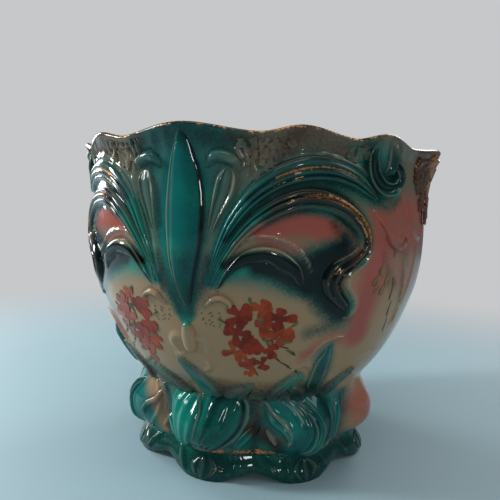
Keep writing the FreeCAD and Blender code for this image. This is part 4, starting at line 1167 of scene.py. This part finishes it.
def joined(name, strips):
    """One mesh object from several strips."""
    points, faces, spray_and_shade, finish_and_highlight, base = [], [], [], [], 0
    for p, f, sp, fi in strips:
        points.append(p)
        faces += [[v + base for v in face] for face in f]
        spray_and_shade.append(sp)
        finish_and_highlight.append(fi)
        base += len(p)
    return new_mesh(name, np.concatenate(points), faces, np.concatenate(spray_and_shade), np.concatenate(finish_and_highlight))


print("edges dip", EDGE_DIP, "mm under the wall")

# %% [markdown]
# Each ornament is drawn once and laid on two or four times: as drawn, in mirror image, and both
# again after half a turn. The names say which corner of the pot a copy belongs to.

# %% Lay on all the ornament
CORNERS = [("front_right", 0, False), ("front_left", 0, True),
           ("back_left", 180, False), ("back_right", 180, True)]
ENDS = [("front", 0, False), ("back", 180, False)]
PLUME_RIBS = ribbed_crest((-0.74, -0.22, 0.50), gold_lines=((-0.48, 0.35, 0.6), (0.14, 0.4, 0.85)))
SCROLL_RIBS = ribbed_crest((-0.62, 0.08, 0.70), dark_from=0.60,
                           gold_lines=((-0.1, 0.42, 0.66), (0.4, 0.28, 0.92), (0.62, 0.36, 0.62)))
FOURFOLD = {
    "upper_plume": [(UPPER_PLUME, 3.9, PLUME_RIBS, "bowl", 120, 44)],
    "lower_plume": [(LOWER_PLUME, 3.9, SCROLL_RIBS, "bowl", 190, 36)],
    "drooping_leaf": [(DROOPING_LEAF, 3.6, drooping_crest, "bowl", 70, 26)],
    "hooded_bud": [(BUD, 2.9, bud_crest, "bowl", 60, 30), (HOOD, 4.0, dome_crest, "bowl", 44, 20)],
    "root_curl": [(ROOT_CURL, 2.4, dome_crest, "bowl", 44, 16)],
    "rim_scroll": [(RIM_SCROLL, 3.9, channel_crest, "bowl", 110, 26),
                   (RIM_LEAF, 3.0, leaf_crest, "bowl", 50, 24)],
    "side_ribbon": [(RIBBON, 2.2, dome_crest, "bowl", 70, 14)],
    "clasp_leaf": [(CLASP_LEAF, 3.6, leaf_crest, "bowl", 60, 26)],
    "stand_scroll": [(STAND_SCROLL, 3.4, channel_crest, "stand", 70, 26),
                     (STAND_TENDRIL, 2.6, dome_crest, "stand", 50, 16)],
    "leaflet": [(LEAFLET, 2.8, leaf_crest, "stand", 44, 20)],
    "spike_leaf": [(SPIKE_LEAF, 3.2, leaf_crest, "stand", 50, 20)],
}
TWOFOLD = {
    "lance_leaf": [(LANCE_LEAF, 5.0, lance_crest, "bowl", 130, 60)],
    "pendant_bud": [(PENDANT_BUD, 3.2, dome_crest, "bowl", 50, 26)],
    "palmette": [(FRONT_LEAF_BEHIND, 2.6, far_fan_crest, "stand", 60, 50),
                 (FRONT_LEAF, 3.4, near_fan_crest, "stand", 60, 50)],
}
PINK_PIECES = ("side_ribbon", "pendant_bud")


def lay_on(plan, places):
    for name, parts in plan.items():
        for place, turn, mirror in places:
            strips = [strip(st, relief, crest, where, turn, mirror, steps, across)
                      for st, relief, crest, where, steps, across in parts]
            piece = joined(f"{name}_{place}_glazed", strips)
            pink = name in PINK_PIECES
            hand_over(piece, PINK_GLAZE if pink else TEAL_GLAZE, "pink_glaze" if pink else "teal_glaze",
                      f"{name}_{place}")


lay_on(FOURFOLD, CORNERS)
lay_on(TWOFOLD, ENDS)
print("pieces so far:", len(made))

# %% [markdown]
# ## Drips under the lip
#
# The gilded falls at the sides and the ragged fringes under the lip's hollows are chains of the same
# thing, a small hanging drop. That is work for Geometry Nodes: points carry each drop's size and
# direction as attributes, and the tree puts a copy of one drop on each point. The drop is a short
# curve with a swelling radius, swept with a round profile. The tree ends in Realize Instances and
# Set Material, and the result is turned into a plain mesh.

# %% The tree that hangs drips
DRIP_SWELL = [(0.0, 0.15), (0.12, 0.72), (0.35, 1.0), (0.62, 0.74), (0.86, 0.36), (1.0, 0.03)]


def geometry_tree(name, setting):
    """A tree with one named setting. Its identifier is what a modifier knows it by."""
    tree, given, result = new_tree(name, "GeometryNodeTree", [("Geometry", GEOMETRY), (setting, FLOAT, 1.0)],
                                   [("Geometry", GEOMETRY)])
    return tree, given, result, tree.interface.items_tree[setting].identifier


def stored(tree, name):
    """A direction or a size that each point carries."""
    kept = node(tree, "GeometryNodeInputNamedAttribute", {"Name": name}, data_type="FLOAT_VECTOR")
    return kept.outputs["Attribute"]


def set_on_points(given, result, shape, main, second, second_axis, size, material):
    """A copy of a shape on every point, aimed and sized as the point says."""
    tree = shape.id_data
    aim = node(tree, "FunctionNodeAxesToRotation",
               {"Primary Axis": stored(tree, main), "Secondary Axis": stored(tree, second)},
               primary_axis="Z", secondary_axis=second_axis)
    copies = node(tree, "GeometryNodeInstanceOnPoints", {
        "Points": given["Geometry"], "Instance": shape,
        "Rotation": aim.outputs["Rotation"], "Scale": stored(tree, size)})
    real = node(tree, "GeometryNodeRealizeInstances", {"Geometry": copies.outputs["Instances"]})
    coat = node(tree, "GeometryNodeSetMaterial", {"Geometry": real.outputs["Geometry"], "Material": material})
    put(result["Geometry"], coat.outputs["Geometry"])


def drip_tree(material):
    tree, given, result, radius_input = geometry_tree("Hanging drips", "Drip Radius")
    line = node(tree, "GeometryNodeCurvePrimitiveLine", {"Start": (0, 0, 0), "End": (0, 0, -1)})
    finer = node(tree, "GeometryNodeResampleCurve", {"Curve": line.outputs["Curve"], "Count": 14})
    place = node(tree, "GeometryNodeSplineParameter").outputs["Factor"]
    bulge = node(tree, "ShaderNodeFloatCurve", {"Value": place})
    knots = bulge.mapping.curves[0].points
    knots[0].location, knots[1].location = DRIP_SWELL[0], DRIP_SWELL[-1]
    for knot in DRIP_SWELL[1:-1]:
        knots.new(*knot)
    bulge.mapping.update()
    swell = node(tree, "GeometryNodeSetCurveRadius", {
        "Curve": finer.outputs["Curve"], "Radius": times(bulge.outputs["Value"], given["Drip Radius"])})
    ring = node(tree, "GeometryNodeCurvePrimitiveCircle", {"Resolution": 12, "Radius": 1.0})
    sweep = node(tree, "GeometryNodeCurveToMesh", {
        "Curve": swell.outputs["Curve"], "Profile Curve": ring.outputs["Curve"], "Fill Caps": True})
    drop = node(tree, "GeometryNodeSetShadeSmooth", {"Geometry": sweep.outputs["Mesh"]})
    set_on_points(given, result, drop.outputs["Geometry"],
                  "up_wall", "out_of_wall", "Y", "drip_size", material)
    return tree, radius_input


DRIP_TREE, DRIP_RADIUS_INPUT = drip_tree(GILT_GLAZE)
print("geometry tree:", DRIP_TREE.name)

# %% Points for the drips
def wall_frame(angle, height):
    """Place, up-wall and outward directions at a few spots on the wall."""
    place = wall(angle, height)
    out = wall_normal(angle, np.clip(height, 0.6, 207))
    up = wall(angle, height + 0.5) - wall(angle, height - 0.5)
    return place, up / np.linalg.norm(up, axis=-1, keepdims=True), out


def plain_mesh(piece, tree, settings):
    """Evaluate a Geometry Nodes tree on a helper and keep only the plain mesh."""
    modifier = piece.modifiers.new("tree", "NODES")
    modifier.node_group = tree
    for identifier, value in settings.items():
        modifier[identifier] = value
    evaluated = piece.evaluated_get(bpy.context.evaluated_depsgraph_get())
    mesh = bpy.data.meshes.new_from_object(evaluated)
    piece.modifiers.remove(modifier)
    old = piece.data
    piece.data = mesh
    bpy.data.meshes.remove(old)
    mesh.name = piece.name
    return piece


def points_object(name, place, attributes):
    mesh = bpy.data.meshes.new(name)
    mesh.from_pydata((place * MM).tolist(), [], [])
    for label, values in attributes.items():
        attribute = mesh.attributes.new(label, "FLOAT_VECTOR", "POINT")
        attribute.data.foreach_set("vector", np.asarray(values, np.float32).ravel())
    return put_in_scene(name, mesh)


def map_place(piece):
    """Angle and height of each vertex of a mesh on the pot."""
    flat = np.empty(len(piece.data.vertices) * 3, np.float32)
    piece.data.vertices.foreach_get("co", flat)
    points = flat.reshape(-1, 3) / MM
    return np.degrees(np.arctan2(points[:, 0], -points[:, 1])), points[:, 2]


def paint_piece(piece, **extra):
    """Give any mesh the pot's paint masks at the places of its vertices."""
    angle, height = map_place(piece)
    height = np.where(height > 191, 191 + (height - 191) * 0.92, height)
    add_masks(piece.data, *paint_and_light_masks(angle, height, **extra))


DRIP_LEAN, MAX_DRIP_RISE = 34.0, 2.6
rng = np.random.default_rng(8)


def hang_drips(replaced, angles, tops, lengths, widths, gold, stain, pale):
    """Chains of drops as one piece, gilt, stained and pale by the amounts given."""
    place, up, out = wall_frame(angles, tops)
    lean = np.radians(rng.uniform(-DRIP_LEAN, DRIP_LEAN, len(angles)))[:, None]
    up = up * np.cos(lean) + np.cross(up, out) * np.sin(lean)
    size = np.stack([widths, np.minimum(0.6 * widths, MAX_DRIP_RISE), lengths], -1) * MM
    piece = points_object(f"{replaced}_drips", place + out * 0.1, {
        "up_wall": up, "out_of_wall": out, "drip_size": size})
    plain_mesh(piece, DRIP_TREE, {DRIP_RADIUS_INPUT: 1.0})
    angle, _ = map_place(piece)
    dab = 0.5 + 0.5 * np.sin(np.radians(angle * 31)) * np.cos(np.radians(angle * 13 + 40))
    paint_piece(piece, gold_extra=gold * (0.4 + 1.2 * dab), brown_extra=stain * (0.85 + 0.15 * dab),
                thin=pale * (1 - dab))
    return hand_over(piece, GILT_GLAZE, "gilt_brown_glaze", replaced)


FRINGE = [(14.6, 9), (16.6, 14), (18.6, 20), (20.4, 17), (22.2, 19), (24.2, 13), (26.2, 9), (43.6, 7),
          (45.6, 9), (47.4, 6)]
FRINGE_LUMP, CASCADE_LUMP, CASCADE_CHAINS = 3.6, 7.0, 15


def lump_chain(angle, top, length, lump):
    """Rows of a chain of lumps that hangs from a spot: angle, height, length and width of each."""
    rows, height = [], top
    while height > top - length:
        size = lump * rng.uniform(0.7, 1.3)
        rows.append((angle + rng.uniform(-0.8, 0.8), height, size, 0.52 * size * rng.uniform(0.7, 1.1)))
        height -= 0.62 * size
    return rows


for place, turn, mirror in CORNERS:
    rows = []
    for angle, length in FRINGE:
        rows += lump_chain(angle, 205.4 + rng.uniform(-1, 1), length * rng.uniform(0.7, 1.15), FRINGE_LUMP)
    angles, *others = np.array(rows).T
    hang_drips(f"rim_fringe_{place}", turn + (-1 if mirror else 1) * angles, *others, 0.12, 0.5, 0.4)
for place, middle in (("right", 90), ("left", 270)):
    rows = []
    for k in range(CASCADE_CHAINS):
        off = (k - 7) / 7.5
        length = 38 * (1 - 0.72 * off**2) * rng.uniform(0.8, 1.1)
        rows += lump_chain(middle + 19 * off, 204.5 - 2 * off**2, length, CASCADE_LUMP)
    hang_drips(f"cascade_{place}", *np.array(rows).T, 0.38, 1.0, 0.0)
print("pieces with drips:", len(made))

# %% [markdown]
# ## Pads on the feet
#
# Each of the eight feet carries a low pad with a few upright ribs, as if a shell were tucked under
# the groove. The strip helper makes one, and eight turned copies are joined to one piece.

# %% Foot pads
FOOT_PAD = on_stand([(0, 0.27, 6.5), (0, 0.19, 12.0), (0, 0.10, 13.0), (0, 0.035, 11.5)])
PAD_RIBS = ribbed_crest((-0.7, 0.0, 0.7), 0.1, 0.5)
pads = [strip(FOOT_PAD, 1.3, PAD_RIBS, "stand", 45 * k, False, 24, 44, (0.5, 0.6)) for k in range(8)]
hand_over(joined("foot_pads", pads), TEAL_GLAZE, "teal_glaze", "foot_shells")
print("pads:", len(pads))

# %% [markdown]
# ## Painted flowers
#
# Sprays of loose orange-red blossom sit on the pale ground below the plumes. They are generic
# wallflowers, laid out freely: a few heads of four or five petals, small leaves, a brown stem and
# a scatter of dots. Colour that a brush leaves stands a hair above the ground, so each petal is a
# very thin disc that Geometry Nodes set on the wall, square to it and turned at random.

# %% A tree that sets petals on the wall
def petal_tree(name, material, notch):
    tree, given, result, thickness_input = geometry_tree(name, "Paint Thickness")
    disc = node(tree, "GeometryNodeMeshCircle", {"Vertices": 22, "Radius": 1.0}, fill_type="TRIANGLE_FAN")
    where = node(tree, "GeometryNodeInputPosition").outputs["Position"]
    x, y, _ = node(tree, "ShaderNodeSeparateXYZ", {"Vector": where}).outputs
    bearing = maths("ARCTAN2", y, x)
    frill = times(maths("COSINE", times(bearing, 5.0)), 0.07)
    dent = times(maths("POWER", maths("MAXIMUM", maths("COSINE", bearing), 0.0), 12.0), -notch)
    swell = plus(plus(frill, dent), 1.0)
    narrow = times(minus(1.0, x), -0.24)
    bent = node(tree, "ShaderNodeCombineXYZ", {"X": plus(times(x, swell), 0.9),
                                               "Y": times(y, plus(swell, narrow))})
    flat = node(tree, "GeometryNodeSetPosition", {
        "Geometry": disc.outputs["Mesh"], "Position": bent.outputs["Vector"]}).outputs["Geometry"]
    grown = node(tree, "GeometryNodeExtrudeMesh", {
        "Mesh": flat, "Offset Scale": given["Paint Thickness"], "Individual": False})
    under = node(tree, "GeometryNodeFlipFaces", {"Mesh": flat})
    whole = node(tree, "GeometryNodeJoinGeometry", {"Geometry": grown.outputs["Mesh"]})
    put(whole.inputs["Geometry"], under.outputs["Mesh"])
    petal = node(tree, "GeometryNodeMergeByDistance", {
        "Geometry": whole.outputs["Geometry"], "Distance": 0.001})
    set_on_points(given, result, petal.outputs["Geometry"],
                  "out_of_wall", "petal_way", "X", "petal_size", material)
    return tree, thickness_input


print("petal tree is ready")

# %% Brushed enamel colours
def enamel(name, light, dark):
    """Brush paint under the glaze: two tones in streaky patches, as glossy as the rest."""
    material, tree, shader = new_material(name)
    streaks, patches = noise(tree, 260.0, 3.0, 0.65), noise(tree, 90.0, 2.0)
    blend = plus(times(streaks, 0.45), times(patches, 0.55))
    put(shader.inputs["Base Color"], mix_colour(remap(blend, 0.40, 0.60), dark, light))
    put(shader.inputs["Roughness"], remap(blend, 0.3, 0.7, 0.30, 0.20))
    clear_glaze(shader, node(tree, "ShaderNodeGroup", node_tree=GLAZE_SKIN).outputs["Height"])
    return material


BLOSSOM = enamel("blossom_red", (0.26, 0.022, 0.0025, 1), (0.13, 0.008, 0.001, 1))
BLOSSOM_PALE = enamel("blossom_orange", (0.34, 0.050, 0.005, 1), (0.21, 0.020, 0.003, 1))
LEAF_GREEN = enamel("painted_leaf", (0.125, 0.135, 0.050, 1), (0.040, 0.055, 0.018, 1))
STEM_BROWN = enamel("painted_stem", (0.045, 0.026, 0.012, 1), (0.018, 0.010, 0.006, 1))
OCHRE = enamel("painted_ochre", (0.22, 0.125, 0.052, 1), (0.13, 0.062, 0.024, 1))
PETALS = {m.name: petal_tree(f"Petals of {m.name}", m, 0.35)
          for m in (BLOSSOM, BLOSSOM_PALE, LEAF_GREEN, STEM_BROWN, OCHRE)}
print("enamels:", list(PETALS))

# %% Lay out the sprays
PAINT_THICKNESS, PAINT_SUNK = 0.16, 0.10


def petals(name, material, marks, lift):
    """marks: angle, height, bearing in degrees, length and width in mm."""
    marks = np.array(marks, float)
    place, up, out = wall_frame(marks[:, 0], marks[:, 1])
    right = np.cross(up, out)
    bearing = np.radians(marks[:, 2])[:, None]
    way = right * np.cos(bearing) + up * np.sin(bearing)
    size = np.stack([marks[:, 3] / 2, marks[:, 4] / 2, np.full(len(marks), PAINT_THICKNESS)], -1) * MM
    carved = wall_relief(marks[:, 0], marks[:, 1])[:, None]
    piece = points_object(name, place + out * (lift + carved - PAINT_SUNK), {
        "out_of_wall": out, "petal_way": way, "petal_size": size})
    tree, thick = PETALS[material.name]
    plain_mesh(piece, tree, {thick: 1.0})
    piece.data.shade_smooth()
    piece.data.set_sharp_from_angle(angle=math.radians(30))
    return hand_over(piece, material, "cream_glaze")


def blossom(angle, height, size, spin, count):
    """Petals of one flower head."""
    return [(angle + rng.uniform(-0.5, 0.5), height + rng.uniform(-1, 1),
             spin + 360 * k / count + rng.uniform(-24, 24),
             size * rng.uniform(0.7, 1.2), size * rng.uniform(0.55, 0.95)) for k in range(count)]


def spray_of_flowers(name, heads, leaves, stems, dots):
    """One painted spray: orange heads behind, red ones in front, leaves, stems and dots."""
    pale, red = [], []
    for k, (angle, height, size) in enumerate(heads):
        marks = blossom(angle, height, size, rng.uniform(0, 90), 4 if k % 3 else 5)
        (pale if k % 2 else red).extend(marks)
    for part, material, marks, lift in (
            ("stems", STEM_BROWN, stems, 0.10), ("pale_petals", BLOSSOM_PALE, pale, 0.16),
            ("red_petals", BLOSSOM, red, 0.22), ("leaves", LEAF_GREEN, leaves, 0.28),
            ("dots", LEAF_GREEN, dots, 0.14)):
        petals(f"{name}_{part}", material, marks, lift)


HEADS = [(16.0, 110, 9.5), (22.0, 114, 8.5), (27.0, 109, 9.5), (24.0, 102, 9.0), (15.0, 99, 9.5),
         (29.5, 99, 8.5), (19.5, 92, 9.5), (14.2, 88, 7.5), (25.5, 91, 7.5), (18.5, 82, 7.5), (22.8, 80.5, 6.0),
      (19.5, 74.5, 5.0)]
LEAVES = [(20.5, 104, 60, 8, 3.0), (22.5, 97, -30, 8, 2.8), (28.0, 94, 15, 8, 2.4), (19.0, 116, 100, 6, 2.2),
          (30.5, 90, -35, 7, 2.2), (16.8, 93, 200, 6, 2.4), (12.0, 105, 150, 6, 2.0), (30.5, 104, 40, 6, 2.0)]
STEMS = [(24.5, 88, -38, 11, 1.1), (28.0, 83, -34, 11, 1.0), (31.5, 78.5, -30, 10, 0.9),
         (34.6, 75.5, -44, 7, 0.9), (26.0, 93, -14, 11, 0.8), (30.0, 90, -34, 9, 0.8), (20.5, 78, -70, 9, 0.8)]
DOTS = [(5.8 + 1.4 * (k % 4) + 0.5 * math.sin(3 * k), 103 + 2.4 * (k // 4) + 0.9 * math.cos(5 * k),
         40 * k, 1.2, 1.0) for k in range(16)]


def moved(marks, turn, mirror):
    """Copy marks to another corner of the pot, mirrored where it is a left one."""
    result = []
    for angle, height, *rest in marks:
        if mirror and len(rest) == 3:
            rest[0] = 180 - rest[0]
        result.append((turn + (-angle if mirror else angle), height, *rest))
    return result


for place, turn, mirror in CORNERS:
    plans = [moved(marks, turn, mirror) for marks in (HEADS, LEAVES, STEMS, DOTS)]
    spray_of_flowers(f"flower_spray_{place}", *plans)
print("pieces with flowers:", len(made))

# %% [markdown]
# A paler flower in ochre hangs in each side panel, painted loosely with a dark green stem.

# %% Side panel flowers
SIDE_PETALS = [(58, 140, 250, 9, 6), (60.5, 135, 265, 11, 6), (56.5, 133, 235, 9, 5), (59.5, 128, 250, 9, 5),
               (57.0, 126, 225, 6, 3), (62.0, 143, 80, 7, 4), (63.0, 131, 300, 7, 4)]
SIDE_STEMS = [(64, 127, 265, 12, 1.0), (65.5, 116, 275, 12, 1.0), (67.2, 105, 280, 12, 0.9),
              (69.5, 138, 262, 12, 0.9), (71, 124, 268, 12, 0.9), (71.6, 111, 272, 12, 0.8)]
for place, turn, mirror in CORNERS:
    petals(f"side_flower_{place}_petals", OCHRE, moved(SIDE_PETALS, turn, mirror), 0.16)
    petals(f"side_flower_{place}_stems", LEAF_GREEN, moved(SIDE_STEMS, turn, mirror), 0.12)
print("all pieces:", len(made))

# %% [markdown]
# ## Floor, backdrop and light
#
# A soft box to the left gives the long white streaks on the ribs, a wide one behind it their sheen,
# and a narrow panel to the right the streak on the leaf. The others only fill in the shade. The
# floor is pale blue and fades to the grey of the wall. The world is that same grey for the camera,
# an even dim light for the pot, and darker still in the mirror images of the glaze.

# %% The floor
WALL_GREY, FLOOR_BLUE = (0.57, 0.575, 0.585, 1), (0.26, 0.385, 0.43, 1)
FADE_NEAR, FADE_FAR, FLOOR_REACH = 0.20, 0.85, 6.0


def floor_material():
    """A plain pale floor that fades to the colour of the wall away from the pot."""
    material, tree, shader = new_material("pale_floor")
    put(shader.inputs["Base Color"], FLOOR_BLUE)
    put(shader.inputs["Roughness"], 0.6)
    place = node(tree, "ShaderNodeTexCoord").outputs["Object"]
    away = node(tree, "ShaderNodeVectorMath", {0: place}, operation="LENGTH").outputs["Value"]
    ray = node(tree, "ShaderNodeLightPath").outputs
    seen = maths("MAXIMUM", ray["Is Camera Ray"], ray["Is Transmission Ray"])
    wall_like = node(tree, "ShaderNodeEmission", {"Color": WALL_GREY}).outputs["Emission"]
    faded = node(tree, "ShaderNodeMixShader", {
        0: times(seen, remap(away, FADE_NEAR, FADE_FAR)), 1: shader.outputs["BSDF"], 2: wall_like})
    put(tree.nodes["Material Output"].inputs["Surface"], faded.outputs["Shader"])
    return material


floor_mesh = bpy.data.meshes.new("floor")
corners = [(x * FLOOR_REACH, y * FLOOR_REACH, 0) for x, y in ((-1, -1), (1, -1), (1, 1), (-1, 1))]
floor_mesh.from_pydata(corners, [], [(0, 1, 2, 3)])
floor = put_in_scene("floor", floor_mesh)
floor.data.materials.append(floor_material())
print("floor:", 2 * FLOOR_REACH, "m wide")

# %% The lamps
def soft_box(name, azimuth, elevation, distance, width, height, power, colour):
    """An area light that looks at the middle of the pot."""
    light = bpy.data.lights.new(name, "AREA")
    light.shape, light.size, light.size_y = "RECTANGLE", width, height
    light.energy, light.color = power, colour
    lamp = put_in_scene(name, light)
    az, el = math.radians(azimuth), math.radians(elevation)
    aim, low = Vector((0, 0, 0.12)), math.cos(el)
    lamp.location = aim + distance * Vector((math.sin(az) * low, -math.cos(az) * low, math.sin(el)))
    lamp.rotation_euler = (aim - lamp.location).to_track_quat("-Z", "Y").to_euler()


COOL, SHADE = (0.95, 0.98, 1.0), (0.96, 0.98, 1.0)
LAMPS = [
    # name, azimuth, elevation, distance, width, height, watts, colour
    ("left_softbox", -66, 28, 1.3, 0.17, 0.48, 15, COOL),
    ("right_panel", 36, 16, 2.0, 0.15, 0.40, 6, SHADE),
    ("left_sheen", -108, 18, 1.6, 0.5, 0.8, 13, SHADE),
    ("right_fill", 95, 35, 1.8, 0.6, 0.8, 4.5, SHADE),
    ("back_fill", 165, 35, 1.8, 0.6, 0.8, 7, SHADE),
    ("top_fill", 0, 80, 1.8, 1.2, 1.2, 8, (1.0, 1.0, 1.0)),
]
for lamp in LAMPS:
    soft_box(*lamp)
print("lamps:", len(LAMPS))

# %% The world around it
world = bpy.data.worlds.new("studio")
bpy.context.scene.world = world
world.use_nodes = True
sky = world.node_tree
sky.nodes.clear()
ray = node(sky, "ShaderNodeLightPath").outputs
ROOM_LIGHT, ROOM_MIRRORED = 0.30, 0.10
layers = [node(sky, "ShaderNodeBackground", {"Color": colour, "Strength": strength}).outputs["Background"]
          for colour, strength in (((1, 1, 1, 1), ROOM_LIGHT),
                                   (WALL_GREY, ROOM_MIRRORED / WALL_GREY[0]), (WALL_GREY, 1.0))]
mirrored = maths("MAXIMUM", ray["Is Glossy Ray"], ray["Is Transmission Ray"])
shown = layers[0]
for amount, layer in ((mirrored, layers[1]), (ray["Is Camera Ray"], layers[2])):
    shown = node(sky, "ShaderNodeMixShader", {0: amount, 1: shown, 2: layer}).outputs["Shader"]
put(node(sky, "ShaderNodeOutputWorld").inputs["Surface"], shown)
bpy.context.scene.view_settings.view_transform = "Standard"
print("room light:", ROOM_LIGHT, "and", ROOM_MIRRORED, "in mirror images")

# %% Finish and count the pieces
bpy.context.view_layer.update()
print("pieces:", len(made))
